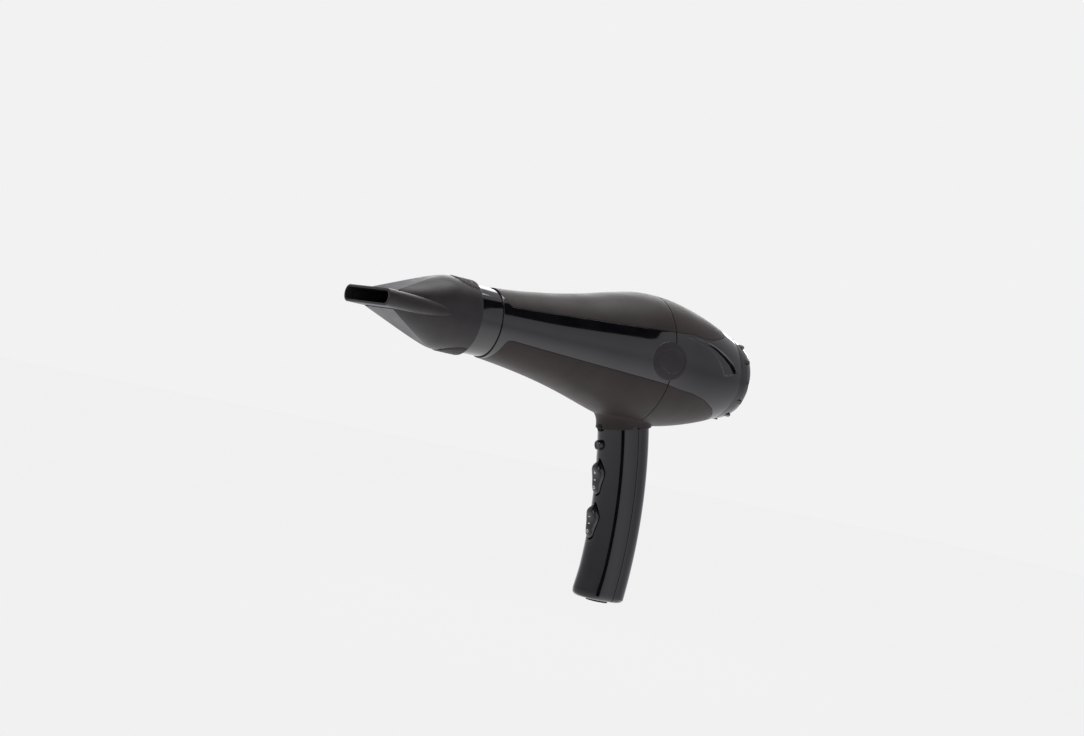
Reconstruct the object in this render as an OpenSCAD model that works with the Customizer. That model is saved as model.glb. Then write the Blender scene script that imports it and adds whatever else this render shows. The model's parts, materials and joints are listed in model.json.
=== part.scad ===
// Hair dryer with a push-on concentrator nozzle that turns.
// +X runs back along the barrel and the air blows towards -X, +Z is up and the handle hangs down.
// The origin is the centre of the barrel's front rim, where a nozzle seats.

/* [Barrel] */
// Length of the barrel from its front rim to the filter cap
body_len = 225; // [187:1:270]
// Largest diameter of the barrel
body_d = 91.5; // [80:0.5:110]
// Length of the rear housing, from the parting plane to the filter cap
rear_len = 67; // [60:1:76]
// Outer diameter of the outlet tube at the front
outlet_d = 45.8; // [42:0.2:52]
// Distance from the front rim to the soft covers
cover_x = 34; // [30:1:42]
// Diameter of the barrel where the filter cap meets it
cap_d = 61; // [56:0.5:66]
// Wall of the housings, covers included
wall = 3; // [2.6:0.1:3.6]
// Thickness of the soft-touch covers
skin = 1.2; // [1:0.1:1.4]

/* [Side caps] */
// Diameter of the round side caps
side_cap_d = 26.4; // [22:0.2:30]
// Height of the side caps above the barrel's axis
side_cap_z = 1.4; // [0:0.2:3]
// Distance of the side caps in front of the parting plane
side_cap_back = 3.3; // [2:0.1:5]

/* [Handle] */
// Height from the barrel's axis down to the foot of the handle
handle_drop = 169; // [150:1:200]
// Depth of the handle from front to back
handle_depth = 36.6; // [33:0.2:42]
// Width of the handle
handle_width = 31; // [29:0.2:34]
// Radius of the handle's long bend
bend_r = 370; // [320:5:450]
// Wall of the handle shells
handle_wall = 2.4; // [2:0.1:2.8]
// Place of the handle's parting face behind its centre line
split_x = 3; // [2:0.5:6]
// Height below the axis where the neck collar ends
neck_drop = 48.5; // [48:0.5:51]

/* [Controls] */
// Height below the axis of the cold-shot button
cold_drop = 60.3; // [59:0.1:62]
// Diameter of the cold-shot button
cold_d = 7; // [6:0.2:8]
// Travel of the cold-shot button
cold_travel = 2.5; // [1.5:0.1:3]
// Height below the axis of the heat rocker
heat_drop = 83.4; // [82:0.1:85]
// Height below the axis of the speed rocker
speed_drop = 115.4; // [114:0.1:118]
// Radius of a rocker's ends about its pin
rocker_r = 13.2; // [12:0.1:13.6]
// Width of a rocker
rocker_w = 12; // [10:0.2:13]

/* [Nozzle] */
// Reach of the slot in front of the barrel's rim
nozzle_reach = 55; // [45:1:66]
// Length of the collar over the outlet tube
collar_len = 18; // [14:0.5:22]
// Width of the slot outlet, outside
slot_w = 68; // [58:1:80]
// Height of the slot outlet, outside
slot_h = 11.4; // [10:0.2:14]
// Wall of the nozzle
nozzle_wall = 1.6; // [1.3:0.1:1.8]

/* [Motor and fan] */
// Diameter of the motor can
motor_d = 40; // [36:0.5:42]
// Length of the motor can
motor_len = 42; // [38:1:46]
// Diameter of the motor shaft
shaft_d = 4; // [3:0.1:5]
// Outer diameter of the fan duct
duct_d = 76; // [72:0.5:77]
// Number of impeller blades
blades = 9; // [7:1:11]

/* [Cord inlet] */
// Diameter of the cord hole in the gland
cord_hole_d = 8; // [7:0.1:9]

/* [Fits] */
// Gap between parts that sit together
fit_gap = 0.1; // [0.05:0.01:0.15]
// Radial clearance of parts that turn or slide in each other
run_gap = 0.05; // [0.03:0.01:0.08]

/* [Hidden] */
$fn = 72;

far = 300;                          // larger than any part, for cutting
body_r = body_d / 2;
tube_r = outlet_d / 2;
cap_r = cap_d / 2;
seam_x = body_len - rear_len;       // parting plane of the housings
tube_wall = 2;
root_r = tube_r + 0.95;             // barrel radius where the covers begin
flare_len = seam_x - cover_x;

// Handle: its centre line is one long arc about an axis parallel to Y.
arc_z = -132;
arc_x = seam_x + 9.5 - bend_r;
handle_a = handle_depth / 2;
handle_b = handle_width / 2;
floor_t = 3;

// Colours
gloss_black = [0.05, 0.05, 0.055];
soft_black = [0.13, 0.13, 0.135];
mica = [0.72, 0.66, 0.52];
steel = [0.66, 0.67, 0.69];
copper = [0.72, 0.42, 0.25];

// ---- curves ---------------------------------------------------------------

function bezier(a, b, c, d, t) =
  a * pow(1 - t, 3) + 3 * b * t * pow(1 - t, 2) + 3 * c * t * t * (1 - t) + d * pow(t, 3);

// The curve's parameter where its x reaches the given value, by halving.
function param_at(a, b, c, d, x, lo = 0, hi = 1, n = 0) =
  n > 20 ? (lo + hi) / 2
  : bezier(a, b, c, d, (lo + hi) / 2) < x ? param_at(a, b, c, d, x, (lo + hi) / 2, hi, n + 1)
  : param_at(a, b, c, d, x, lo, (lo + hi) / 2, n + 1);

// The flare rises from the outlet tube to the largest diameter, and the tail falls to the filter cap.
flare_x1 = cover_x + 0.63 * flare_len;
flare_x2 = seam_x - 0.255 * flare_len;
flare_r1 = root_r + 0.061 * flare_len;
tail_x1 = seam_x + 0.46 * rear_len;
tail_x2 = body_len - 0.02 * rear_len;

function flare_r(x) =
  bezier(root_r, flare_r1, body_r, body_r, param_at(cover_x, flare_x1, flare_x2, seam_x, x));
function tail_r(x) =
  bezier(body_r, body_r, cap_r + 0.6, cap_r, param_at(seam_x, tail_x1, tail_x2, body_len, x));
function barrel_r(x) = x <= seam_x ? flare_r(x) : tail_r(x);

function steps(x0, x1, n) = [for (i = [0:n]) x0 + (x1 - x0) * i / n];
function outline(x0, x1, off, n) = [for (x = steps(x0, x1, n)) [barrel_r(x) - off, x]];

function handle_x(z) = arc_x + sqrt(pow(bend_r, 2) - pow(z - arc_z, 2));
function handle_tilt(z) = asin((z - arc_z) / bend_r);

// ---- shared shapes --------------------------------------------------------

// Turns a half section, drawn as [radius, x], about the barrel's axis.
module about_barrel() {
  rotate([0, 90, 0]) rotate_extrude() children();
}

module tube_x(x0, x1, r_out, r_in) {
  about_barrel() polygon([[r_in, x0], [r_out, x0], [r_out, x1], [r_in, x1]]);
}

module rod_x(x0, x1, r) {
  translate([x0, 0, 0]) rotate([0, 90, 0]) cylinder(h = x1 - x0, r = r);
}

// The barrel's own volume between two places, held in by off.
module barrel_solid(x0, x1, off, n = 12) {
  about_barrel() polygon(concat([[0, x0]], outline(x0, x1, off, n), [[0, x1]]));
}

module barrel_layer(x0, x1, off_out, off_in, n = 14) {
  outer = outline(x0, x1, off_out, n);
  inner = outline(x0, x1, off_in, n);
  about_barrel() polygon(concat(outer, [for (i = [n:-1:0]) inner[i]]));
}

// Extrudes a side view, drawn as [x, z], across the whole width.
module side_view(points) {
  rotate([90, 0, 0]) linear_extrude(height = far, center = true) polygon(points);
}

module stadium(a, b) {
  translate([-(a - b), -b]) square([2 * (a - b), 2 * b]);
  translate([-(a - b), 0]) circle(r = b);
  translate([a - b, 0]) circle(r = b);
}

// Sweeps a section along the handle's arc between two heights.
module handle_sweep(z_low, z_high) {
  low = handle_tilt(z_low);
  high = handle_tilt(z_high);
  translate([arc_x, 0, arc_z]) rotate([90, 0, 0]) rotate([0, 0, low])
    rotate_extrude(angle = high - low, $fn = 180) translate([bend_r, 0]) children();
}

// Puts a piece in the handle at a height: local +X points out of the handle's back.
module at_handle(z) {
  translate([handle_x(z), 0, z]) rotate([0, -handle_tilt(z), 0]) children();
}

module below(z) {
  translate([-far, -far, z - 2 * far]) cube([3 * far, 2 * far, 2 * far]);
}

module front_zone(offset_x) {
  handle_sweep(-handle_drop - 20, 0)
    translate([-60, -50]) square([60 + offset_x, 100]);
}

module rear_zone(offset_x) {
  handle_sweep(-handle_drop - 20, 0)
    translate([offset_x, -50]) square([60 - offset_x, 100]);
}

// ---- covers and housings --------------------------------------------------

// Side views of the covers' edges, as [x, z]
top_edge_z = 13.2;
top_rise = 8.4;
low_edge_z = -8.4;
low_fall = 6;

module top_zone(gap = 0) {
  side_view([
    [cover_x - 3, far], [cover_x - 3, 24.5], [cover_x - 1, 21.9], [cover_x + 2.7, 17.8],
    [cover_x + 5.5, top_edge_z + gap], [seam_x - gap, top_edge_z + top_rise + gap], [seam_x - gap, far]
  ]);
}

module bottom_zone(gap = 0) {
  side_view([
    [cover_x - 3, -far], [cover_x - 1, -26], [cover_x + 2.4, -22.8], [cover_x + 7, low_edge_z - gap],
    [seam_x - gap, low_edge_z - low_fall - gap], [seam_x - gap, -far]
  ]);
}

module rear_top_zone(gap = 0) {
  side_view([
    [seam_x + gap, far], [seam_x + gap, top_edge_z + top_rise + gap], [seam_x + 17, 23 + gap],
    [seam_x + 28, 22.2 + gap], [seam_x + 37, 23 + gap], [seam_x + 46, 25.4 + gap],
    [seam_x + 55, 28.6 + gap], [seam_x + 56.5, 34], [seam_x + 57, far]
  ]);
}

module rear_bottom_zone(gap = 0) {
  side_view([
    [seam_x + gap, -far], [seam_x + gap, low_edge_z - low_fall - gap], [seam_x + 23, -16.4 - gap],
    [seam_x + 37, -18.8 - gap], [seam_x + 51, -23.6 - gap], [seam_x + 58, -28.9 - gap],
    [seam_x + 59, -far]
  ]);
}

module cap_place(side, depth = 60) {
  translate([seam_x - side_cap_back, 0, side_cap_z]) rotate([side * 90, 0, 0])
    cylinder(h = depth, r = side_cap_d / 2);
}

module cap_seats() {
  difference() {
    for (side = [-1, 1]) translate([seam_x - side_cap_back, 0, side_cap_z])
      rotate([side * 90, 0, 0]) cylinder(h = 60, r = side_cap_d / 2 + fit_gap);
    barrel_solid(seam_x - 30, seam_x + 30, skin + fit_gap, 8);
  }
}

// The opening for the wiring between barrel and handle
module wire_way() {
  handle_sweep(-body_r - 6, -body_r + 12) stadium(handle_a - 7, handle_b - 4);
}

// ring-shaped tongue on which the filter cap turns
spigot_r = cap_r - 3.4;
spigot_len = 4;

// Neck screw: it enters through the collar and the handle's wall into a lug of the front housing
neck_screw_z = 0.5 - neck_drop;
lug_x = -handle_depth / 2 + handle_wall + 1.2;

module neck_screw_bore(r, x0 = -handle_depth, h = 40) {
  at_handle(neck_screw_z) translate([x0, 0, 0]) rotate([0, 90, 0]) cylinder(h = h, r = r);
}

module front_housing() {
  color(gloss_black) {
    difference() {
      union() {
        difference() {
          union() {
            tube_x(0, cover_x + 2, tube_r, tube_r - tube_wall);
            about_barrel() polygon([
              [tube_r - tube_wall, cover_x + 1], [tube_r, cover_x + 1], [barrel_r(cover_x + 9), cover_x + 9],
              [barrel_r(cover_x + 9) - wall, cover_x + 9]
            ]);
            barrel_layer(cover_x + 9, seam_x, 0, wall);
          }
          intersection() {
            barrel_layer(cover_x, seam_x + 1, -10, skin + fit_gap);
            union() {
              top_zone();
              bottom_zone();
            }
          }
          cap_seats();
          wire_way();
        }
        // lug that reaches down into the handle for the neck screw
        at_handle(neck_screw_z) translate([lug_x, -4.5, -4]) cube([7, 9, 14]);
      }
      neck_screw_bore(1.5 + run_gap);
      barrel_solid(cover_x + 10, seam_x - 1, wall);
    }
  }
}

module top_cover() {
  color(soft_black) intersection() {
    barrel_layer(cover_x, seam_x, 0, skin);
    top_zone(fit_gap);
  }
}

// The collar round the top of the handle, from a place x0 on towards the back
module neck_collar(x0) {
  difference() {
    intersection() {
      handle_sweep(-neck_drop, -body_r + 10) stadium(handle_a + 1.6, handle_b + 1.6);
      translate([x0, -far / 2, -far]) cube([far, far, far]);
    }
    barrel_solid(cover_x, body_len, skin / 2, 20);
  }
}

module bottom_cover() {
  color(soft_black) {
    difference() {
      union() {
        intersection() {
          barrel_layer(cover_x, seam_x, 0, skin);
          bottom_zone(fit_gap);
        }
        neck_collar(seam_x - fit_gap - far);
      }
      handle_sweep(-body_r - 10, -body_r + 14) stadium(handle_a + fit_gap, handle_b + fit_gap);
      neck_screw_bore(2.8, h = handle_depth / 2 - 0.02);
      cap_seats();
    }
  }
}

module rear_bottom_cover() {
  color(soft_black) {
    difference() {
      union() {
        intersection() {
          barrel_layer(seam_x, body_len, 0, skin);
          rear_bottom_zone(fit_gap);
        }
        neck_collar(seam_x + fit_gap);
      }
      handle_sweep(-body_r - 10, -body_r + 14) stadium(handle_a + fit_gap, handle_b + fit_gap);
      cap_seats();
    }
  }
}

module rear_top_cover() {
  color(soft_black) intersection() {
    barrel_layer(seam_x, body_len, 0, skin);
    rear_top_zone(fit_gap);
  }
}

// Shallow scoop pressed into each side behind the cap
scoop_depth = 1.3;
module scoop() {
  intersection() {
    barrel_layer(seam_x + 10, body_len - 1, -5, scoop_depth);
    side_view([
      [seam_x + 12, 21.2], [seam_x + 24, 18.7], [seam_x + 33, 14.6], [seam_x + 41, 9.2],
      [seam_x + 46, 4], [seam_x + 49, -0.4], [seam_x + 56, 1.4], [seam_x + 64, 4.2],
      [seam_x + 60, 9.5], [seam_x + 50, 15.4], [seam_x + 40, 19.4], [seam_x + 28, 21.6]
    ]);
  }
}

module rear_housing() {
  color(gloss_black) difference() {
    union() {
      barrel_layer(seam_x + fit_gap, body_len, 0, wall);
      tube_x(body_len - 4, body_len, cap_r - 1, spigot_r - 2);
      tube_x(body_len - 4, body_len + spigot_len, spigot_r, spigot_r - 2);
    }
    intersection() {
      barrel_layer(seam_x, body_len + 0.01, -10, skin + fit_gap);
      union() {
        rear_top_zone();
        rear_bottom_zone();
      }
    }
    scoop();
    cap_seats();
    wire_way();
  }
}

module side_cap(side) {
  color(gloss_black) difference() {
    intersection() {
      cap_place(side);
      barrel_layer(seam_x - 30, seam_x + 30, -0.5, skin);
    }
    // groove round the teardrop face
    intersection() {
      barrel_layer(seam_x - 30, seam_x + 30, -5, -0.05);
      translate([seam_x - side_cap_back, 0, side_cap_z]) rotate([90, 0, 0])
        linear_extrude(height = far, center = true) difference() {
          teardrop(8.2);
          teardrop(7.4);
        }
    }
  }
}

// Drop shape with its point towards the nozzle
module teardrop(r) {
  translate([2.4, 0]) circle(r = r);
  polygon([[2.4 - r * 0.53, r * 0.85], [-5.6 - r * 0.75, 0], [2.4 - r * 0.53, -r * 0.85]]);
}

module side_cap_left() side_cap(1);
module side_cap_right() side_cap(-1);

module outlet_grille() {
  color(gloss_black) {
    tube_x(2, 5, tube_r - tube_wall - fit_gap, tube_r - tube_wall - 2);
    for (r = [4, 8.6, 13.2]) tube_x(2, 5, r + 0.7, r - 0.7);
    for (a = [0:60:120]) rotate([a, 0, 0])
      translate([2.5, -(tube_r - tube_wall - 1), -0.6]) cube([2, 2 * (tube_r - tube_wall - 1), 1.2]);
  }
}

// ---- handle ---------------------------------------------------------------

module handle_shell() {
  difference() {
    intersection() {
      handle_sweep(-handle_drop - 12, -body_r + 14) stadium(handle_a, handle_b);
      below(0);
    }
    below(-handle_drop);
    difference() {
      handle_sweep(-handle_drop - 12, -body_r + 16)
        stadium(handle_a - handle_wall, handle_b - handle_wall);
      below(-handle_drop + floor_t);
    }
    barrel_solid(cover_x, seam_x, skin);
    barrel_solid(seam_x, body_len, skin);
    translate([gland_x, 0, -handle_drop - 1]) cylinder(h = floor_t + 2, r = gland_r + fit_gap);
  }
}

gland_x = handle_x(-handle_drop);
gland_r = cord_hole_d / 2 + 2.2;

// Side view of a rocker's opening and body, in the handle's local frame
pin_depth = 6.2;                        // pin axis below the front face
pin_local = -handle_a + pin_depth;
pin_r = 1.1;
slot_gap = 0.35;
crown = 3.4;                            // how far a rocker stands out

screw_drops = [68, 131];                // heights of the handle screws below the axis

// Bridge across the front shell that a handle screw threads into
module screw_bridge(drop) {
  intersection() {
    at_handle(-drop) translate([0, -far / 2, -3]) cube([split_x - fit_gap / 2, far, 6]);
    handle_sweep(-drop - 8, -drop + 8) stadium(handle_a - handle_wall / 2, handle_b - handle_wall / 2);
  }
}

module handle_front() {
  color(gloss_black) difference() {
    union() {
      intersection() {
        handle_shell();
        front_zone(split_x - fit_gap / 2);
      }
      for (drop = screw_drops) screw_bridge(drop);
    }
    for (drop = screw_drops) at_handle(-drop)
      translate([-5, 0, 0]) rotate([0, 90, 0]) cylinder(h = 40, r = 1.5 + run_gap);
    at_handle(-cold_drop) translate([-handle_a - 5, 0, 0]) rotate([0, 90, 0])
      cylinder(h = 12, r = cold_d / 2 + run_gap);
    for (drop = [heat_drop, speed_drop])
      at_handle(-drop) translate([-handle_a - 5, -rocker_w / 2 - slot_gap, -rocker_r - slot_gap])
        cube([12, rocker_w + 2 * slot_gap, 2 * (rocker_r + slot_gap)]);
    neck_screw_bore(1.5 + run_gap, h = 30);
  }
}

module handle_rear() {
  color(gloss_black) difference() {
    union() {
      intersection() {
        handle_shell();
        rear_zone(split_x + fit_gap / 2);
      }
      // bosses that carry the handle screws
      for (drop = screw_drops) intersection() {
        at_handle(-drop) translate([split_x + 1, 0, 0]) rotate([0, 90, 0])
          cylinder(h = handle_a - split_x - 1 - handle_wall / 2, r = 3.6);
        rear_zone(split_x + 1);
      }
    }
    for (drop = screw_drops) at_handle(-drop) {
      translate([-5, 0, 0]) rotate([0, 90, 0]) cylinder(h = 40, r = 1.5 + run_gap);
      translate([handle_a - 4.5, 0, 0]) rotate([0, 90, 0]) cylinder(h = 12, r = 3);
    }
  }
}

module handle_screws() {
  color(steel) for (drop = screw_drops) at_handle(-drop) {
    translate([split_x - 5, 0, 0]) rotate([0, 90, 0]) cylinder(h = handle_a - split_x + 0.6, r = 1.5);
    difference() {
      translate([handle_a - 4.5 + run_gap, 0, 0]) rotate([0, 90, 0]) cylinder(h = 2, r = 2.8);
      translate([handle_a - 3.3, -2, -0.4]) cube([3, 4, 0.8]);
      translate([handle_a - 3.3, -0.4, -2]) cube([3, 0.8, 4]);
    }
  }
}

module neck_screw() {
  color(steel) at_handle(neck_screw_z) difference() {
    union() {
      translate([-handle_a - 1.5, 0, 0]) rotate([0, 90, 0]) cylinder(h = 10, r = 1.5);
      translate([-handle_a - 1.5, 0, 0]) rotate([0, 90, 0]) cylinder(h = 1.4, r = 2.6);
    }
    translate([-handle_a - 2, -2, -0.4]) cube([1.2, 4, 0.8]);
  }
}

// ---- controls -------------------------------------------------------------

button_out = 3.2;                       // how far the cold-shot button stands out
flange_t = 1.4;
flange_x = -handle_a + handle_wall + 1.2;

module cold_shot_button() {
  color(gloss_black) at_handle(-cold_drop) {
    translate([-handle_a - button_out, 0, 0]) rotate([0, 90, 0])
      cylinder(h = button_out + flange_x + handle_a + flange_t, r = cold_d / 2);
    translate([flange_x, 0, 0]) rotate([0, 90, 0])
      cylinder(h = flange_t, r = cold_d / 2 + 1.2);
  }
}

spring_x0 = flange_x + flange_t;
switch_x = spring_x0 + cold_travel + 3.3; // the closed spring takes the last part

module cold_shot_spring() {
  turns = 4;
  color(steel) at_handle(-cold_drop) for (i = [0:turns - 1])
    translate([spring_x0 + 0.35 + i * (switch_x - spring_x0 - 0.7) / (turns - 1), 0, 0])
      rotate([0, 90, 0]) rotate_extrude() translate([2.2, 0]) circle(r = 0.3, $fn = 16);
}

module cold_shot_switch() {
  color([0.2, 0.2, 0.22]) at_handle(-cold_drop) {
    translate([switch_x, -5, -5.5]) cube([7, 10, 11]);
    for (z = [-3.5, 3.5]) translate([switch_x + 7, -1.2, z - 0.4]) cube([3, 2.4, 0.8]);
  }
}

// Rocker: a rib on the pin under a crowned cap whose front view is pointed at the top
module rocker() {
  intersection() {
    rotate([90, 0, 0]) linear_extrude(height = rocker_w, center = true) difference() {
      translate([pin_local, 0]) intersection() {
        circle(r = rocker_r);
        polygon([
          [2.2, 3], [2.2, -3], [-pin_depth + handle_wall + 1.2, -5.5], [-pin_depth + 1, -far],
          [-pin_depth - crown + 2, -rocker_r], [-pin_depth - crown, -rocker_r * 0.55],
          [-pin_depth - crown + 1.4, 0], [-pin_depth - crown, rocker_r * 0.55],
          [-pin_depth - crown + 2, rocker_r], [-pin_depth + 1, far], [-pin_depth + handle_wall + 1.2, 5.5]
        ]);
      }
      translate([pin_local, 0]) circle(r = pin_r + run_gap);
    }
    translate([-far / 2, 0, 0]) rotate([90, 0, 90]) linear_extrude(height = far) polygon([
      [-rocker_w / 2 + 2, -rocker_r], [rocker_w / 2 - 2, -rocker_r], [rocker_w / 2, -rocker_r + 3],
      [rocker_w / 2, rocker_r - 6.5], [1, rocker_r], [-1, rocker_r],
      [-rocker_w / 2, rocker_r - 6.5], [-rocker_w / 2, -rocker_r + 3]
    ]);
    union() {
      translate([pin_local - 30 - pin_depth + handle_wall + 1.2, -30, -30]) cube([30, 60, 60]);
      translate([-50, -2.5, -30]) cube([100, 5, 60]);
    }
  }
}

module heat_rocker() {
  color(gloss_black) at_handle(-heat_drop) rocker();
}

module speed_rocker() {
  color(gloss_black) at_handle(-speed_drop) rocker();
}

ear_gap = 0.35;
module rocker_pins() {
  color(steel) for (drop = [heat_drop, speed_drop]) at_handle(-drop)
    translate([pin_local, 0, 0]) rotate([90, 0, 0]) cylinder(h = 9.4, r = pin_r, center = true);
}

module rocker_switch() {
  difference() {
    union() {
      translate([pin_local + 3.4, -5, -10]) cube([8, 10, 20]);
      for (side = [-1, 1])
        translate([pin_local - 2.2, side * (2.5 + ear_gap + 1) - 1, -3]) cube([6.5, 2, 6]);
    }
    translate([pin_local, 0, 0]) rotate([90, 0, 0]) cylinder(h = 30, r = pin_r, center = true);
  }
  for (z = [-6, 0, 6]) translate([pin_local + 11.4, -1.2, z - 0.4]) cube([3, 2.4, 0.8]);
}

module heat_switch() {
  color([0.2, 0.2, 0.22]) at_handle(-heat_drop) rocker_switch();
}

module speed_switch() {
  color([0.2, 0.2, 0.22]) at_handle(-speed_drop) rocker_switch();
}

// ---- nozzle ---------------------------------------------------------------

ring_wall = 0.9;
ring_r = tube_r + run_gap + ring_wall;
collar_r = ring_r + run_gap + nozzle_wall - 0.3;
knee = 12.7;                            // length of the slot's own straight part
front_x = -nozzle_reach;

module nozzle_ring() {
  color(gloss_black) difference() {
    tube_x(1, collar_len - 1, ring_r, tube_r + run_gap);
    // slits that let the ring spring over the tube
    for (a = [0:60:300]) rotate([a, 0, 0]) translate([7, -0.8, 0]) cube([collar_len, 1.6, far]);
  }
}

// A thin rounded box across the nozzle at x, half_w wide and half_h high
module slot_slice(x, half_w, half_h, t = 0.4) {
  translate([x, -half_w + half_h, 0]) rotate([0, 90, 0]) cylinder(h = t, r = half_h, $fn = 32);
  translate([x, half_w - half_h, 0]) rotate([0, 90, 0]) cylinder(h = t, r = half_h, $fn = 32);
}

module box_slice(x, half_w, half_h) {
  translate([x, -half_w, -half_h]) cube([0.4, 2 * half_w, 2 * half_h]);
}

module nozzle_form(inset) {
  r = collar_r - inset;
  hull() {
    rod_x(-2, 0.2, r, $fn = 64);
    box_slice(front_x + knee, slot_w * 0.29 - inset, slot_h * 0.62 - inset);
  }
  hull() {
    slot_slice(front_x + 5, slot_w / 2 - inset, slot_h / 2 - inset);
    for (side = [-1, 1]) translate([3 - 2.5 * inset, side * (r - 1.2), 0]) sphere(r = 0.9, $fn = 16);
  }
}

module nozzle_body() {
  color(gloss_black) difference() {
    union() {
      nozzle_form(0);
      tube_x(0, collar_len, collar_r, ring_r + run_gap);
      hull() {
        slot_slice(front_x, slot_w / 2, slot_h / 2);
        slot_slice(front_x + 5, slot_w / 2, slot_h / 2);
      }
    }
    nozzle_form(nozzle_wall);
    translate([front_x - 1, -slot_w / 2 + nozzle_wall + 2, -slot_h / 2 + nozzle_wall])
      cube([12, slot_w - 2 * nozzle_wall - 4, slot_h - 2 * nozzle_wall]);
    rod_x(0, collar_len + 1, ring_r + run_gap);
  }
}

module nozzle_grip(side) {
  color(soft_black) intersection() {
    difference() {
      tube_x(1.5, collar_len - 1, collar_r + 0.7, collar_r);
      for (i = [0:6]) tube_x(3 + i * 1.9, 3.7 + i * 1.9, collar_r + 2, collar_r + 0.3);
    }
    translate([0, -11, side > 0 ? 0 : -far]) cube([far, 22, far]);
  }
}

module nozzle_grip_upper() nozzle_grip(1);
module nozzle_grip_lower() nozzle_grip(-1);

// ---- filter ---------------------------------------------------------------

cap_len = 19;                           // length of the filter cap behind the barrel
cap_wall = 2;
cap_x = body_len + fit_gap;
cap_lugs = 12;

module filter_cap() {
  outer = [
    [cap_r - 0.2, cap_x], [cap_r - 0.9, cap_x + 3], [cap_r - 2.4, cap_x + 8], [cap_r - 5, cap_x + 12.5],
    [cap_r - 9, cap_x + 15.6], [cap_r - 15, cap_x + 17.6], [cap_r - 22, cap_x + 18.7], [0, cap_x + cap_len]
  ];
  inner = [
    [0, cap_x + cap_len - cap_wall], [cap_r - 22, cap_x + 18.7 - cap_wall], [cap_r - 15.6, cap_x + 15.6],
    [cap_r - 10, cap_x + 13.6], [cap_r - 6.8, cap_x + 11], [spigot_r + run_gap, cap_x + 7],
    [spigot_r + run_gap, cap_x]
  ];
  color(gloss_black) difference() {
    union() {
      about_barrel() polygon(concat(outer, inner));
      // grip lugs round the edge
      for (i = [0:cap_lugs - 1]) rotate([i * 360 / cap_lugs, 0, 0])
        translate([cap_x + 6, -1.4, cap_r - 4.4]) cube([3.4, 2.8, 3.2]);
    }
    // air slots: three broken rings
    difference() {
      for (r = [5, 11.5, 18]) tube_x(cap_x + 9, cap_x + 30, r + 2.1, r - 2.1);
      for (a = [0:30:150]) rotate([a, 0, 0]) translate([cap_x, -1, -far / 2]) cube([40, 2, far]);
    }
  }
}

screen_r = spigot_r - 3;
module filter_screen() {
  pitch = 5;
  color(steel) {
    tube_x(cap_x + 4.6, cap_x + 6, spigot_r - 0.2, screen_r - 1);
    intersection() {
      rod_x(cap_x + 4.8, cap_x + 5.8, screen_r);
      union() {
        for (k = [-4:4]) {
          translate([cap_x + 4.9, -far / 2, k * pitch - 0.3]) cube([0.5, far, 0.6]);
          translate([cap_x + 5.2, k * pitch - 0.3, -far / 2]) cube([0.5, 0.6, far]);
        }
      }
    }
  }
}

// ---- heater ---------------------------------------------------------------

heater_x0 = 9;
heater_x1 = seam_x - 54;
sleeve_r = tube_r - tube_wall - 1.2;
sleeve_wall = 0.6;
plate_r = sleeve_r - sleeve_wall - 2.6;
wire_r = 0.5;

module mica_sleeve() {
  color(mica) tube_x(heater_x0, heater_x1, sleeve_r, sleeve_r - sleeve_wall);
}

module heater_former() {
  length = heater_x1 - heater_x0 - 6;
  color(mica) {
    translate([heater_x0 + 3, -plate_r, -0.5]) cube([length, 2 * plate_r, 1]);
    translate([heater_x0 + 3, -0.5, -plate_r]) cube([length, 1, 2 * plate_r]);
  }
}

module heater_coils() {
  turn_pitch = 5;
  turns = floor((heater_x1 - heater_x0 - 26) / turn_pitch);
  color(copper) for (i = [0:turns]) translate([heater_x0 + 10 + i * turn_pitch, 0, 0])
    rotate([0, 90, 0]) rotate_extrude() translate([plate_r + fit_gap + wire_r, 0])
      circle(r = wire_r, $fn = 16);
}

module thermostat() {
  x = heater_x1 - 14;
  color(steel) {
    translate([x, 6, 0.5 + fit_gap]) cylinder(h = 3.6, r = 4.5);
    for (s = [-1, 1]) translate([x + s * 5.5 - 1, 5, 0.5 + fit_gap]) cube([3, 2, 0.8]);
  }
}

module thermal_fuse() {
  x = heater_x1 - 22;
  color(steel) {
    translate([x, -6, 2.4]) rotate([0, 90, 0]) cylinder(h = 9, r = 1.7);
    translate([x - 5, -6, 2.4]) rotate([0, 90, 0]) cylinder(h = 19, r = 0.5);
  }
}

// ---- motor and fan --------------------------------------------------------

motor_x0 = seam_x - 36;
motor_x1 = motor_x0 + motor_len;
motor_r = motor_d / 2;
can_wall = 1.2;
sleeve_t = 1.6;
shaft_r = shaft_d / 2;
bearing_r = 4.5;
duct_r = duct_d / 2;
duct_wall = 1.5;
duct_x0 = seam_x - 22;
fan_x0 = motor_x1 + 5;
fan_x1 = fan_x0 + 14;
duct_x1 = fan_x1 + 1;
hub_r = 15;
tip_gap = 0.7;
holder_r = motor_r + sleeve_t + fit_gap;

module motor_can() {
  color(steel) difference() {
    rod_x(motor_x0, motor_x1 - 3, motor_r);
    rod_x(motor_x0 + can_wall, motor_x1, motor_r - can_wall);
    rod_x(motor_x0 - 1, motor_x0 + 3, bearing_r);
    for (a = [0:90:270]) rotate([a + 45, 0, 0]) translate([motor_x0 - 1, 0, 12])
      rotate([0, 90, 0]) cylinder(h = 4, r = 2.2);
    motor_screw_holes();
  }
}

module motor_screw_holes() {
  for (a = [0, 180]) rotate([a, 0, 0]) translate([motor_x0 - 12, 0, 12])
    rotate([0, 90, 0]) cylinder(h = 16, r = 1.25 + run_gap);
}

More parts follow.
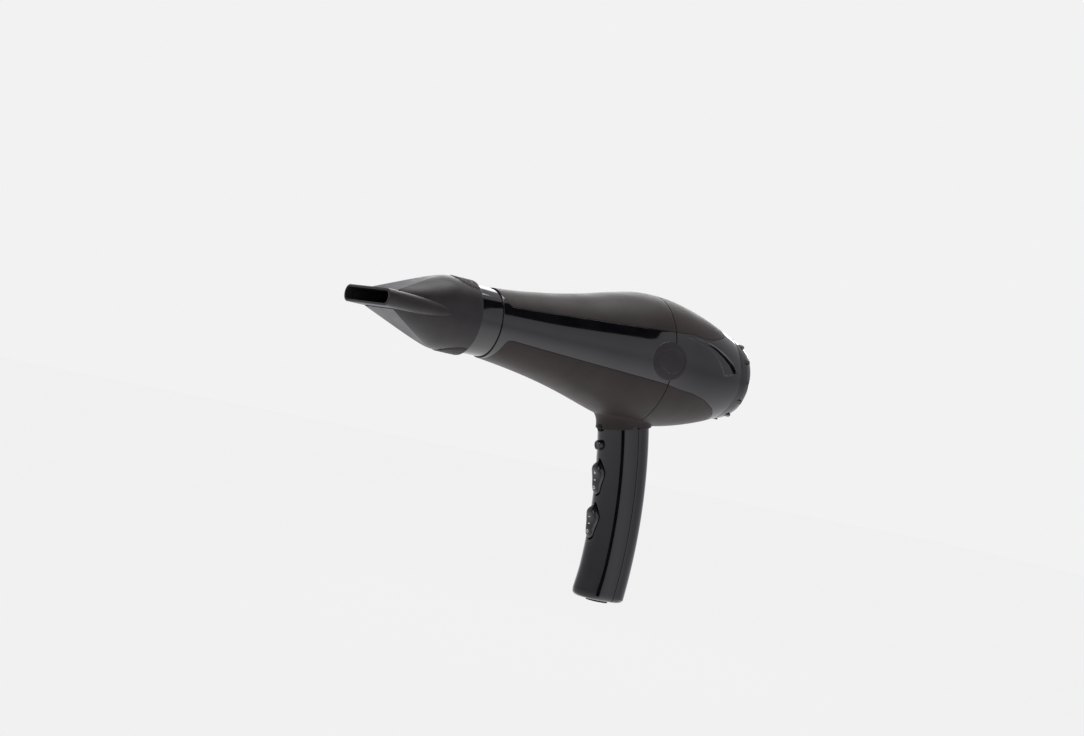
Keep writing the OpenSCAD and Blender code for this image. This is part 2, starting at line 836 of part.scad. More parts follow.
module motor_end_cap() {
  color([0.9, 0.9, 0.86]) difference() {
    union() {
      rod_x(motor_x1 - 3, motor_x1, motor_r);
      tube_x(motor_x1 - 6, motor_x1 - 3, motor_r - can_wall - fit_gap, motor_r - 3);
    }
    rod_x(motor_x1 - 4, motor_x1 + 1, bearing_r);
    for (a = [0:90:270]) rotate([a, 0, 0]) translate([motor_x1 - 8, 0, 12])
      rotate([0, 90, 0]) cylinder(h = 12, r = 2.4);
  }
}

module magnets() {
  color([0.3, 0.3, 0.32]) intersection() {
    tube_x(motor_x0 + 6, motor_x1 - 8, motor_r - can_wall - fit_gap, motor_r - can_wall - 3.4);
    union() {
      for (side = [0, 180]) rotate([side, 0, 0]) translate([0, -10, 0]) cube([far, 20, 40]);
    }
  }
}

module armature() {
  x0 = motor_x0 + 8;
  x1 = motor_x1 - 14;
  color(copper) difference() {
    union() {
      rod_x(x0, x1, motor_r - can_wall - 4.4);
      rod_x(x1, x1 + 7, 5);
    }
    rod_x(x0 - 1, x1 + 9, shaft_r);
    for (a = [0:60:300]) rotate([a + 30, 0, 0]) translate([x0 - 1, -1, 8]) cube([x1 - x0 + 1, 2, 30]);
  }
}

module motor_shaft() {
  color(steel) rod_x(motor_x0 - 3, fan_x1 + 2, shaft_r);
}

module bearing(x0) {
  color([0.75, 0.6, 0.35]) tube_x(x0, x0 + 3, bearing_r - fit_gap / 2, shaft_r + run_gap);
}

module front_bearing() bearing(motor_x0 - 0.8);
module rear_bearing() bearing(motor_x1 - 3);

module motor_sleeve() {
  color([0.12, 0.12, 0.12]) tube_x(motor_x0 + 4, motor_x1 - 6, motor_r + sleeve_t, motor_r + fit_gap / 2);
}

module motor_screws() {
  color(steel) for (a = [0, 180]) rotate([a, 0, 0]) translate([0, 0, 12]) {
    rod_x(motor_x0 - 3, motor_x0 + 3, 1.25);
    rod_x(motor_x0 - 5, motor_x0 - 3, 2.3);
  }
}

module fan_duct() {
  color([0.16, 0.16, 0.17]) {
    tube_x(duct_x0, duct_x1, duct_r, duct_r - duct_wall);
    difference() {
      tube_x(motor_x0 - 3, motor_x1 - 5, holder_r + 1.5, holder_r);
      rod_x(motor_x0 - 4, motor_x0 - 0.9, 1);
    }
    // front plate of the holder that the motor screws clamp
    difference() {
      rod_x(motor_x0 - 3, motor_x0 - 1, holder_r + 1.5);
      rod_x(motor_x0 - 4, motor_x0 + 1, 6);
      motor_screw_holes();
      for (a = [0:90:270]) rotate([a + 45, 0, 0]) translate([motor_x0 - 4, 0, 13])
        rotate([0, 90, 0]) cylinder(h = 5, r = 3.4);
    }
    // stator vanes
    for (i = [0:6]) rotate([i * 360 / 7, 0, 0])
      translate([duct_x0 + 2, -0.8, holder_r + 0.5]) cube([20, 1.6, duct_r - duct_wall - holder_r]);
  }
}

module impeller() {
  tip_r = duct_r - duct_wall - tip_gap;
  color([0.16, 0.16, 0.17]) difference() {
    union() {
      rod_x(fan_x0, fan_x1, hub_r);
      intersection() {
        tube_x(fan_x0, fan_x1, tip_r, hub_r - 1);
        union() {
          for (i = [0:blades - 1]) rotate([i * 360 / blades, 0, 0]) translate([(fan_x0 + fan_x1) / 2, 0, 0])
            rotate([0, 0, 38]) translate([-11, -0.7, 0]) cube([22, 1.4, tip_r + 2]);
        }
      }
    }
    rod_x(fan_x0 - 1, fan_x1 + 1, shaft_r);
    tube_x(fan_x0 - 1, fan_x1 - 2, hub_r - 2, 4.5);
  }
}

// ---- cord inlet and wiring -------------------------------------------------

module cord_gland() {
  z = -handle_drop;
  color([0.1, 0.1, 0.1]) difference() {
    union() {
      translate([gland_x, 0, z - 1.6]) cylinder(h = 1.5, r = gland_r + 1.4);
      translate([gland_x, 0, z - 0.2]) cylinder(h = floor_t + 5, r = gland_r);
      translate([gland_x, 0, z + floor_t + fit_gap]) cylinder(h = 1.5, r = gland_r + 1.2);
    }
    translate([gland_x, 0, z - 5]) cylinder(h = floor_t + 14, r = cord_hole_d / 2);
  }
}

clamp_z = -handle_drop + floor_t + 12;

module cord_clamp() {
  x = gland_x;
  color([0.85, 0.85, 0.8]) difference() {
    translate([x - 4.5, -10, clamp_z]) cube([9, 20, 6]);
    translate([x, 0, clamp_z - 1]) cylinder(h = 8, r = cord_hole_d / 2 + 0.2);
    for (side = [-1, 1]) translate([x - 6, side * 7.4, clamp_z + 3]) rotate([0, 90, 0])
      cylinder(h = 12, r = 1.25 + run_gap);
  }
}

module clamp_screws() {
  x = gland_x;
  color(steel) for (side = [-1, 1]) translate([x, side * 7.4, clamp_z + 3]) rotate([0, 90, 0]) {
    translate([0, 0, -4.5]) cylinder(h = 10, r = 1.25);
    translate([0, 0, 4.5 + fit_gap]) cylinder(h = 1.6, r = 2.2);
  }
}

module terminal_block() {
  z = clamp_z + 11;
  x = handle_x(z);
  color([0.9, 0.88, 0.8]) difference() {
    translate([x - 5, -8, z - 1]) cube([9, 16, 9]);
    for (y = [-4, 4]) translate([x - 0.5, y, z - 2]) cylinder(h = 12, r = 1.5);
  }
}

// Leads from the terminals up past the switches into the barrel
module internal_leads() {
  top = -body_r - 4;
  bottom = clamp_z + 21;
  color(copper) for (side = [-1, 1])
    handle_sweep(bottom, top) translate([split_x + 2.4, side * 7.4]) circle(r = 1.1);
}

// ---- assembly --------------------------------------------------------------

front_housing();
top_cover();
bottom_cover();
rear_housing();
rear_top_cover();
rear_bottom_cover();
side_cap_left();
side_cap_right();
outlet_grille();
handle_front();
handle_rear();
nozzle_ring();
nozzle_body();
nozzle_grip_upper();
nozzle_grip_lower();
filter_cap();
filter_screen();
cold_shot_button();
cold_shot_spring();
cold_shot_switch();
heat_rocker();
speed_rocker();
rocker_pins();
heat_switch();
speed_switch();
mica_sleeve();
heater_former();
heater_coils();
thermostat();
thermal_fuse();
motor_can();
motor_end_cap();
magnets();
armature();
motor_shaft();
front_bearing();
rear_bearing();
motor_sleeve();
motor_screws();
fan_duct();
impeller();
cord_gland();
cord_clamp();
clamp_screws();
terminal_block();
internal_leads();
neck_screw();
handle_screws();
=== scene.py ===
# %% [markdown]
# # A hair dryer around its CAD frame
# The CAD model gives the sizes, the joints and the hidden parts. This lesson builds the skins, the
# grip, the nozzle and the finishes that a person sees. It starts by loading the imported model, and it
# notes the CAD box, because the visual model must stay inside it.

# %% The frame
import json
import math

import bmesh
import bpy
import numpy as np
from mathutils import Matrix, Vector


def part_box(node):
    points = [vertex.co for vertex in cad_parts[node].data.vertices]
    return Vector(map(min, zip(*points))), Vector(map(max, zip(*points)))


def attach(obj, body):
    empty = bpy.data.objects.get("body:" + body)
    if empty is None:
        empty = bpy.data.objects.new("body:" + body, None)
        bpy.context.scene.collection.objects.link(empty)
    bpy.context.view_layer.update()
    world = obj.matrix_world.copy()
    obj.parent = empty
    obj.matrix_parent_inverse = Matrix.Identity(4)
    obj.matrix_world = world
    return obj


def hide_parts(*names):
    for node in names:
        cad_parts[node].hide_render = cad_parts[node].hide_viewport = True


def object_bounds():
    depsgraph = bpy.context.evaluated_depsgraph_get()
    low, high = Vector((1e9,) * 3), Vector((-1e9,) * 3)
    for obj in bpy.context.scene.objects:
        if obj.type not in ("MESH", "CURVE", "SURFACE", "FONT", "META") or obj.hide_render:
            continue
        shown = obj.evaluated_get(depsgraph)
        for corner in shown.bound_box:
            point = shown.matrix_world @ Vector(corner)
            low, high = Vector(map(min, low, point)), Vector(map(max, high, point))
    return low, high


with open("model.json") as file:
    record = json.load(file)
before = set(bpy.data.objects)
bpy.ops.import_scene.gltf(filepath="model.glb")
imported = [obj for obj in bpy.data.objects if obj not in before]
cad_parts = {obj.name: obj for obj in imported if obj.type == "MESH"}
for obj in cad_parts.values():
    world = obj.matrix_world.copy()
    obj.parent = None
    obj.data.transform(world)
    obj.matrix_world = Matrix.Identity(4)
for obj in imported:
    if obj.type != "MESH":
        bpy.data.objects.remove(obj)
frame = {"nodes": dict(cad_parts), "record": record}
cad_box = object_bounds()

MM = 0.001
nodes = frame["nodes"]


def node_box(name):
    """Lowest and highest corner of a CAD node, in millimetres."""
    return [[value / MM for value in corner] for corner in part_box(name)]


# %% [markdown]
# The barrel is a turned shape: one curve gives its radius at every place along the axis. The curve
# flares from the outlet tube to the widest place and falls to the filter cap. The same two Bezier
# curves shape the CAD housings, so the skins made here lie where the CAD's own outside lies. It could
# be sculpted, but a curve keeps the housings and everything that seats on them in agreement.

# %% The barrel's rule
SEAM_X = node_box("front_housing")[1][0]
BODY_R = node_box("top_cover")[1][2]
BODY_LEN = node_box("filter_cap")[0][0] - 0.1
COVER_X = 34.0
CAP_R = node_box("filter_cap")[1][1] + 0.2
TUBE_R = node_box("outlet_grille")[1][1] + 2.1
FLARE = SEAM_X - COVER_X
TAIL = BODY_LEN - SEAM_X
ROOT_R = TUBE_R + 0.95


def bezier(a, b, c, d, t):
    """One coordinate of a cubic Bezier curve."""
    return a * (1 - t) ** 3 + 3 * b * t * (1 - t) ** 2 + 3 * c * t * t * (1 - t) + d * t**3


def curve_table(xs, rs, count=400):
    """Samples of a Bezier curve, so that a radius can be looked up by its place."""
    ts = np.linspace(0, 1, count)
    return bezier(*xs, ts), bezier(*rs, ts)


FLARE_TABLE = curve_table(
    (COVER_X, COVER_X + 0.63 * FLARE, SEAM_X - 0.255 * FLARE, SEAM_X),
    (ROOT_R, ROOT_R + 0.061 * FLARE, BODY_R, BODY_R),
)
TAIL_TABLE = curve_table(
    (SEAM_X, SEAM_X + 0.46 * TAIL, BODY_LEN - 0.02 * TAIL, BODY_LEN),
    (BODY_R, BODY_R, CAP_R + 0.6, CAP_R),
)


def barrel_r(x):
    """Radius of the barrel's skin at a place along its axis."""
    table = FLARE_TABLE if x <= SEAM_X else TAIL_TABLE
    return float(np.interp(x, *table))


def ease(value):
    """A smooth step from 0 to 1."""
    value = max(0.0, min(1.0, value))
    return value * value * (3 - 2 * value)


def circle(radius, count):
    """Points round a circle, as pairs."""
    turns = [2 * math.pi * k / count for k in range(count)]
    return [(radius * math.cos(turn), radius * math.sin(turn)) for turn in turns]


check_places = (COVER_X, SEAM_X, BODY_LEN)
print("barrel radius at the covers, seam and cap:", [round(barrel_r(x), 1) for x in check_places])

# %% [markdown]
# The handle follows one long arc, so it bends back towards the hand. A local frame that slides along
# the arc makes it easy to place the switches: its X points out of the back and its Z runs up the grip.

# %% The handle's rule
BEND_R = 370.0
ARC_Z = -132.0
ARC_X = SEAM_X + 9.5 - BEND_R
HANDLE_A = 18.3
HANDLE_B = node_box("handle_front")[1][1]
FOOT_Z = node_box("handle_front")[0][2]
SPLIT_X = 3.0
HANDLE_WALL = 2.4
COLD_Z = -60.3
HEAT_Z = -83.4
SPEED_Z = -115.4
NECK_Z = -48.5


def handle_x(z):
    """Place of the handle's centre line at a height."""
    return ARC_X + math.sqrt(BEND_R**2 - (z - ARC_Z) ** 2)


def at_handle(height, x, y, z=0.0):
    """A point given in the handle's sliding frame at a height, in the part's frame."""
    tilt = math.asin((height - ARC_Z) / BEND_R)
    return (
        handle_x(height) + x * math.cos(tilt) - z * math.sin(tilt),
        y,
        height + x * math.sin(tilt) + z * math.cos(tilt),
    )


print("handle leans", round(handle_x(-110) - handle_x(-50), 1), "mm over 60 mm")

# %% [markdown]
# ## Materials
# A finish is a short list of shader nodes. Two helpers keep the lists readable: one turns an sRGB hex
# value to the linear colour that the renderer works in, the other adds a node with its settings and
# its links. Values that are the same all over a piece go straight on the shader's own sockets.

# %% Colour and node helpers
def linear(hex_value):
    """The linear colour of an sRGB hex value."""
    parts = [int(hex_value[i : i + 2], 16) / 255 for i in (1, 3, 5)]
    return [p / 12.92 if p <= 0.04045 else ((p + 0.055) / 1.055) ** 2.4 for p in parts] + [1.0]


def add_node(tree, kind, links=(), values=(), **settings):
    """Adds a node. links are (input, source socket) pairs and values are (input, value) pairs."""
    node = tree.nodes.new(kind)
    for name, value in settings.items():
        setattr(node, name, value)
    for name, value in values:
        node.inputs[name].default_value = value
    for name, socket in links:
        tree.links.new(socket, node.inputs[name])
    return node


def new_finish(name):
    """An empty material with its shader, and the tree and shader to work on."""
    material = bpy.data.materials.new(name)
    material.use_nodes = True
    tree = material.node_tree
    tree.nodes.clear()
    shader = add_node(tree, "ShaderNodeBsdfPrincipled")
    output = add_node(tree, "ShaderNodeOutputMaterial")
    tree.links.new(shader.outputs[0], output.inputs["Surface"])
    return material, tree, shader


def mottled(tree, shader, dark, light, size_mm, spread=(0.35, 0.65)):
    """Base colour that drifts between two shades over patches of a real size."""
    place = add_node(tree, "ShaderNodeTexCoord")
    cloud = add_node(
        tree,
        "ShaderNodeTexNoise",
        links=[("Vector", place.outputs["Object"])],
        values=[("Scale", 1 / (size_mm * MM)), ("Detail", 3.0)],
    )
    ramp = add_node(tree, "ShaderNodeValToRGB", links=[("Fac", cloud.outputs["Fac"])])
    ramp.color_ramp.elements[0].position = spread[0]
    ramp.color_ramp.elements[1].position = spread[1]
    ramp.color_ramp.elements[0].color = linear(dark)
    ramp.color_ramp.elements[1].color = linear(light)
    tree.links.new(ramp.outputs["Color"], shader.inputs["Base Color"])
    return place


def worn_gloss(tree, shader, place, low, high, size_mm):
    """Roughness that wanders a little, as handling and polish leave it."""
    cloud = add_node(
        tree,
        "ShaderNodeTexNoise",
        links=[("Vector", place.outputs["Object"])],
        values=[("Scale", 1 / (size_mm * MM)), ("Detail", 4.0)],
    )
    span = add_node(
        tree,
        "ShaderNodeMapRange",
        links=[("Value", cloud.outputs["Fac"])],
        values=[("From Min", 0.3), ("From Max", 0.7), ("To Min", low), ("To Max", high)],
    )
    tree.links.new(span.outputs["Result"], shader.inputs["Roughness"])


def grain(tree, shader, place, size_mm, height_mm, strength=1.0, detail=2.0):
    """Bump of a real grain size and height."""
    cloud = add_node(
        tree,
        "ShaderNodeTexNoise",
        links=[("Vector", place.outputs["Object"])],
        values=[("Scale", 1 / (size_mm * MM)), ("Detail", detail)],
    )
    bump = add_node(
        tree,
        "ShaderNodeBump",
        links=[("Height", cloud.outputs["Fac"])],
        values=[("Strength", strength), ("Distance", height_mm * MM)],
    )
    tree.links.new(bump.outputs["Normal"], shader.inputs["Normal"])


print("the hex grey #808080 is", round(linear("#808080")[0], 3), "in linear light")

# %% [markdown]
# The glossy shells are ABS moulded in a polished tool. The eye sees a near-black plastic with clean
# reflections and a very faint waviness, which moulders call orange peel. The matt covers are the same
# plastic sprayed with soft-touch lacquer: a warm dark grey that scatters light and hides reflections.

# %% Plastics of the outside
def polished_abs():
    """Moulded ABS from a polished tool: clean reflections over a nearly black body."""
    material, tree, shader = new_finish("abs_moulded_polished_black")
    place = mottled(tree, shader, "#09090b", "#0e0e11", 9)
    worn_gloss(tree, shader, place, 0.07, 0.12, 14)
    grain(tree, shader, place, 5.0, 0.012, 0.5, 0.0)
    shader.inputs["IOR"].default_value = 1.54
    shader.inputs["Coat Weight"].default_value = 0.25
    shader.inputs["Coat Roughness"].default_value = 0.05
    return material


def soft_touch():
    """Sprayed soft-touch lacquer on ABS: warm dark grey, a fine grain and a wide dull highlight."""
    material, tree, shader = new_finish("soft_touch_lacquer_sprayed")
    place = mottled(tree, shader, "#272120", "#2d2625", 12)
    worn_gloss(tree, shader, place, 0.42, 0.52, 20)
    # The real spray grain is about 0.1 mm; it is drawn at 0.35 mm so that it shows.
    grain(tree, shader, place, 0.35, 0.02, 0.25)
    shader.inputs["IOR"].default_value = 1.5
    shader.inputs["Specular IOR Level"].default_value = 0.22
    shader.inputs["Sheen Weight"].default_value = 0.03
    shader.inputs["Sheen Roughness"].default_value = 0.45
    return material


def satin_abs():
    """Moulded ABS from a lightly etched tool: duller than the shells, for the nozzle and side caps."""
    material, tree, shader = new_finish("abs_moulded_satin_black")
    place = mottled(tree, shader, "#221f20", "#272425", 8)
    worn_gloss(tree, shader, place, 0.34, 0.42, 11)
    grain(tree, shader, place, 0.4, 0.012, 0.25)
    shader.inputs["IOR"].default_value = 1.54
    shader.inputs["Specular IOR Level"].default_value = 0.26
    return material


def printed_ink():
    """Pad-printed white ink: an opaque, slightly chalky film."""
    material, tree, shader = new_finish("ink_pad_printed_white")
    place = mottled(tree, shader, "#d4d4d2", "#eeeeec", 0.8)
    worn_gloss(tree, shader, place, 0.38, 0.5, 2)
    return material


print("outside:", [finish.__name__ for finish in (polished_abs, soft_touch, satin_abs, printed_ink)])

# %% [markdown]
# Inside are the working materials: glass-filled nylon, zinc-plated and drawn steel, mica sheet,
# resistance wire, copper, sintered bronze, ferrite and rubber. Each gets the grain that its process
# leaves, at that grain's real size, so that a close look down the outlet or through the filter holds.

# %% Working materials
def plain_plastic(name, dark, light, low, high, ior=1.52):
    """Moulded engineering plastic with a slightly cloudy skin."""
    material, tree, shader = new_finish(name)
    place = mottled(tree, shader, dark, light, 5)
    worn_gloss(tree, shader, place, low, high, 6)
    grain(tree, shader, place, 0.6, 0.02, 0.3)
    shader.inputs["IOR"].default_value = ior
    return material


def metal(name, dark, light, low, high, size_mm, height_mm):
    """Bare or plated metal: a tinted mirror broken up by the grain of its process."""
    material, tree, shader = new_finish(name)
    place = mottled(tree, shader, dark, light, size_mm * 6)
    worn_gloss(tree, shader, place, low, high, size_mm * 4)
    grain(tree, shader, place, size_mm, height_mm, 0.4)
    shader.inputs["Metallic"].default_value = 1.0
    return material


def mica_sheet():
    """Pressed mica paper: flaky, silver-brown and faintly shiny."""
    material, tree, shader = new_finish("mica_pressed_sheet")
    place = mottled(tree, shader, "#8d7a55", "#cdbd95", 1.6, (0.3, 0.7))
    worn_gloss(tree, shader, place, 0.25, 0.55, 1.2)
    grain(tree, shader, place, 1.0, 0.04, 0.4)
    shader.inputs["IOR"].default_value = 1.58
    return material


FINISHES = {
    "gloss_black": polished_abs(),
    "soft_touch": soft_touch(),
    # Glass-filled nylon: dull, with a cloudy skin where the fibres come up.
    "inner_plastic": plain_plastic("nylon_glass_filled_moulded", "#1a1b1d", "#232427", 0.42, 0.58),
    # PBT: an ivory that is a little shinier than the nylon.
    "light_plastic": plain_plastic("pbt_moulded_ivory", "#cfcabb", "#dfdbcd", 0.35, 0.48),
    # Zinc plate: a pale blue-grey, half bright.
    "steel": metal("steel_zinc_plated", "#9ea2a8", "#c3c6ca", 0.22, 0.38, 0.5, 0.01),
    "mica": mica_sheet(),
    # Nickel-chrome wire: brownish from its first heating, with the lines of the die.
    "heater_wire": metal("nickel_chrome_wire_drawn", "#6e6259", "#93857a", 0.3, 0.5, 0.3, 0.008),
    # Enamelled winding: copper under a warm clear coat.
    "copper": metal("copper_enamelled_wound", "#96522c", "#c4774a", 0.25, 0.4, 0.4, 0.02),
    # Sintered bronze: open pores, so it looks matt for a metal.
    "bronze": metal("bronze_sintered", "#8e6a38", "#b58d52", 0.4, 0.6, 0.25, 0.02),
    # Ground ferrite: a dark grey ceramic without shine.
    "ferrite": plain_plastic("ferrite_ground", "#2b2b2e", "#39393c", 0.5, 0.7, 1.8),
    # Moulded rubber: black, and the dullest of all.
    "rubber": plain_plastic("rubber_moulded_black", "#121212", "#1b1b1b", 0.55, 0.72),
}
SATIN = satin_abs()
INK = printed_ink()
print(len(FINISHES) + 2, "finishes")

# %% [markdown]
# ## Building blocks
# Most pieces here are grids of points that follow a rule. A grid is easy to reason about: its edges
# are the piece's real edges, so a thickness and a rounded edge can be added by modifiers afterwards.

# %% Meshes from grids
def mesh_object(name, points_mm, faces, material):
    """A mesh object at the origin, from points in millimetres."""
    mesh = bpy.data.meshes.new(name)
    mesh.from_pydata([[value * MM for value in p] for p in points_mm], [], faces)
    mesh.materials.append(material)
    obj = bpy.data.objects.new(name, mesh)
    bpy.context.scene.collection.objects.link(obj)
    return obj


def grid_faces(rows, columns, loop=False):
    """Faces of a grid of points, row by row; loop joins the last column to the first."""
    faces = []
    for r in range(rows - 1):
        for c in range(columns if loop else columns - 1):
            d = (c + 1) % columns
            faces.append((r * columns + c, r * columns + d, (r + 1) * columns + d, (r + 1) * columns + c))
    return faces


def grid_object(name, rows, material, loop=False, caps=False):
    """A grid piece. With loop and caps it is a closed body."""
    count = len(rows[0])
    faces = grid_faces(len(rows), count, loop)
    if caps:
        faces.append(tuple(range(count))[::-1])
        last = (len(rows) - 1) * count
        faces.append(tuple(range(last, last + count)))
    return mesh_object(name, [p for row in rows for p in row], faces, material)


def tidy_mesh(obj, outward=True):
    """Merges doubled points and, on a closed body, turns every face outwards."""
    work = bmesh.new()
    work.from_mesh(obj.data)
    bmesh.ops.remove_doubles(work, verts=work.verts, dist=1e-7)
    bmesh.ops.dissolve_degenerate(work, edges=work.edges, dist=1e-7)
    if outward:
        bmesh.ops.recalc_face_normals(work, faces=work.faces)
    work.to_mesh(obj.data)
    work.free()
    return obj


def settle(obj):
    """Turns an object and its modifiers into one plain mesh."""
    shaped = obj.evaluated_get(bpy.context.evaluated_depsgraph_get())
    mesh = bpy.data.meshes.new_from_object(shaped)
    obj.modifiers.clear()
    obj.data = mesh
    return obj


def smooth(obj, degrees=32):
    """Smooth shading, with edges sharper than an angle kept crisp."""
    obj.data.shade_smooth()
    obj.data.set_sharp_from_angle(angle=math.radians(degrees))
    return obj


def thicken(obj, wall_mm, edge_mm=0.35, offset=-1):
    """Gives a skin its wall and rounds its edges."""
    wall = obj.modifiers.new("wall", "SOLIDIFY")
    wall.thickness = wall_mm * MM
    wall.offset = offset
    round_edges(obj, edge_mm)
    return settle(obj)


def round_edges(obj, edge_mm, degrees=40, segments=3):
    """Adds a small radius to the sharp edges."""
    edge = obj.modifiers.new("edge", "BEVEL")
    edge.width = edge_mm * MM
    edge.segments = segments
    edge.limit_method = "ANGLE"
    edge.angle_limit = math.radians(degrees)
    edge.harden_normals = False


def join(name, *objs):
    """Joins pieces into the first one's mesh."""
    work = bmesh.new()
    for obj in objs:
        work.from_mesh(obj.data)
    mesh = bpy.data.meshes.new(name)
    slots = []
    for obj in objs:
        for material in obj.data.materials:
            if material not in slots:
                slots.append(material)
    work.to_mesh(mesh)
    work.free()
    start = 0
    for obj in objs:
        for polygon in obj.data.polygons:
            material = obj.data.materials[polygon.material_index]
            mesh.polygons[start + polygon.index].material_index = slots.index(material)
        start += len(obj.data.polygons)
    for material in slots:
        mesh.materials.append(material)
    for obj in objs:
        bpy.data.objects.remove(obj)
    result = bpy.data.objects.new(name, mesh)
    bpy.context.scene.collection.objects.link(result)
    return result


def turned(name, outline, material, count=96, axis_point=(0.0, 0.0)):
    """A closed body turned about a line along X, from a closed outline of (x, radius) points."""
    rows = []
    for k in range(count):
        angle = 2 * math.pi * k / count
        rows.append([
            (x, axis_point[0] + r * math.cos(angle), axis_point[1] + r * math.sin(angle)) for x, r in outline
        ])
    points = [p for row in rows for p in row]
    size = len(outline)
    faces = []
    for k in range(count):
        n = (k + 1) % count
        for i in range(size):
            j = (i + 1) % size
            faces.append((k * size + i, n * size + i, n * size + j, k * size + j))
    return tidy_mesh(mesh_object(name, points, faces, material))


def place(obj, body, slot, *replaced):
    """Last step for every piece: it rides on its body and stands for its CAD nodes."""
    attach(obj, body)
    if replaced:
        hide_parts(*replaced)
    print(f"{obj.name}: {len(obj.data.polygons)} faces, on {body}")


print("building blocks ready")

# %% [markdown]
# ## The covers and the glossy sides
# Seen from the side, the matt covers and the glossy panels meet on long curved lines. Each panel is a
# grid: its rows step along the barrel, and every row runs round the barrel from one line to the other.
# A wall and a small edge radius turn the grid into a moulded shell, and the narrow gap between two
# shells is the parting line.

# %% The lines between the covers, in side view
GAP = 0.12
SEAM_GAP = 0.28
TOP_LINE = [(31, 24.5), (33, 21.9), (36.7, 17.8), (38.6, 14.6), (40.4, 13.3), (44, 13.4), (SEAM_X, 21.6)]
LOW_LINE = [
    (33, -26), (35.2, -24), (36.6, -22.3), (38.2, -17.5), (39.8, -11.6), (41.4, -9.3), (44, -8.6),
    (SEAM_X, -14.4),
]
REAR_TOP_LINE = [
    (SEAM_X, 21.6), (SEAM_X + 17, 23), (SEAM_X + 28, 22.2), (SEAM_X + 37, 23), (SEAM_X + 46, 25.4),
    (SEAM_X + 53, 27.9), (SEAM_X + 55.5, 30), (SEAM_X + 56.5, 34), (SEAM_X + 57, 38),
]
REAR_LOW_LINE = [
    (SEAM_X, -14.4), (SEAM_X + 12, -15.9), (SEAM_X + 23, -16.4), (SEAM_X + 37, -18.8),
    (SEAM_X + 51, -23.4), (SEAM_X + 57, -27.4), (SEAM_X + 59, -31), (SEAM_X + 60, -38),
]


def line_angle(line, x, shift):
    """Angle round the barrel, from the side up, where a line lies at a place along the barrel."""
    z = float(np.interp(x, *zip(*line))) + shift
    return math.asin(max(-1.0, min(1.0, z / barrel_r(x))))


def spread(share, start, end, r, dense):
    """An angle between two limits. Most of them fall in a range of heights that needs fine shape."""
    flip = start > math.pi / 2
    low, high = (math.pi - start, math.pi - end) if flip else (start, end)
    margin = 0.03 * (high - low)
    inner = [min(max(math.asin(min(1.0, z / r)), low + margin), high - margin) for z in dense]
    angle = float(np.interp(share, (0, 0.15, 0.85, 1), (low, *inner, high)))
    return math.pi - angle if flip else angle


def skin(name, xs, low, high, columns, material, lift=None, dense=None, wall=1.15, edge=0.35):
    """A moulded panel between two angles round the barrel, given as functions of place."""
    rows = []
    for x in xs:
        start, end = low(x), high(x)
        row = []
        for c in range(columns + 1):
            radius = barrel_r(x)
            angle = start + (end - start) * c / columns
            if dense:
                angle = spread(c / columns, start, end, radius, dense)
            if lift:
                radius += lift(x, radius * math.cos(angle), radius * math.sin(angle))
            row.append((x, radius * math.cos(angle), radius * math.sin(angle)))
        rows.append(row)
    obj = grid_object(name, rows, material)
    work = bmesh.new()
    work.from_mesh(obj.data)
    bmesh.ops.remove_doubles(work, verts=work.verts, dist=2e-5)
    outward = 0.0
    for face in work.faces:
        face.normal_update()
        middle = face.calc_center_median()
        outward += face.normal.dot(Vector((0, middle.y, middle.z)))
    if outward < 0:
        bmesh.ops.reverse_faces(work, faces=work.faces)
    work.to_mesh(obj.data)
    work.free()
    return thicken(obj, wall, edge)


def stations(*spans):
    """Places along the barrel: each span is (from, to, steps)."""
    places = []
    for start, end, steps in spans:
        places += [start + (end - start) * k / steps for k in range(steps)]
    return places + [spans[-1][1]]


FRONT_STATIONS = stations((COVER_X, 46, 24), (46, SEAM_X - SEAM_GAP, 56))
REAR_STATIONS = stations((SEAM_X + SEAM_GAP, 184, 36), (184, BODY_LEN - 0.1, 96))
print(len(FRONT_STATIONS), "rows in front of the seam and", len(REAR_STATIONS), "behind it")

# %% [markdown]
# The two glossy side panels share one shell with the outlet tube. Under the covers the shell steps in
# by the covers' thickness. The tube has a rounded lip, because a nozzle is pushed over it many times.

# %% The front shell
TUBE_WALL = 2.0
STEP_IN = 1.3
SHELL_DEPTH = 3.0


def side_angles(low_line, high_line, side):
    """The panel's two angle functions, mirrored for the left side."""
    def low(x):
        angle = line_angle(low_line, x, GAP)
        return angle if side > 0 else math.pi - angle

    def high(x):
        angle = line_angle(high_line, x, -GAP)
        return angle if side > 0 else math.pi - angle

    return low, high


def front_core():
    """The tube and the stepped-in shell under the covers, turned in one outline."""
    outer = [(x, barrel_r(x) - STEP_IN) for x in np.linspace(COVER_X + 1.5, SEAM_X - GAP, 30)]
    inner = [(x, barrel_r(x) - SHELL_DEPTH) for x in np.linspace(SEAM_X - GAP, COVER_X + 9, 24)]
    tube_in = TUBE_R - TUBE_WALL
    lip = [
        (COVER_X + 2, tube_in), (1.0, tube_in), (0.35, tube_in + 0.2), (0.0, tube_in + 0.7),
        (0.0, TUBE_R - 0.7), (0.35, TUBE_R - 0.2), (1.0, TUBE_R), (COVER_X, TUBE_R), (COVER_X + 1.5, TUBE_R),
    ]
    return smooth(turned("front_core", outer + inner + lip, FINISHES["gloss_black"]), 40)


panels = [
    skin(
        f"side_panel_{side}", FRONT_STATIONS, *side_angles(LOW_LINE, TOP_LINE, side), 30,
        FINISHES["gloss_black"],
    )
    for side in (1, -1)
]
front_shell = smooth(join("front_shell", front_core(), *panels))
place(front_shell, "housing", "gloss_black", "front_housing")

# %% [markdown]
# The upper cover is one matt shell that closes over the top. It could be cut out of a full ring, but a
# grid that runs from the line on one side to the line on the other has clean edges at once.

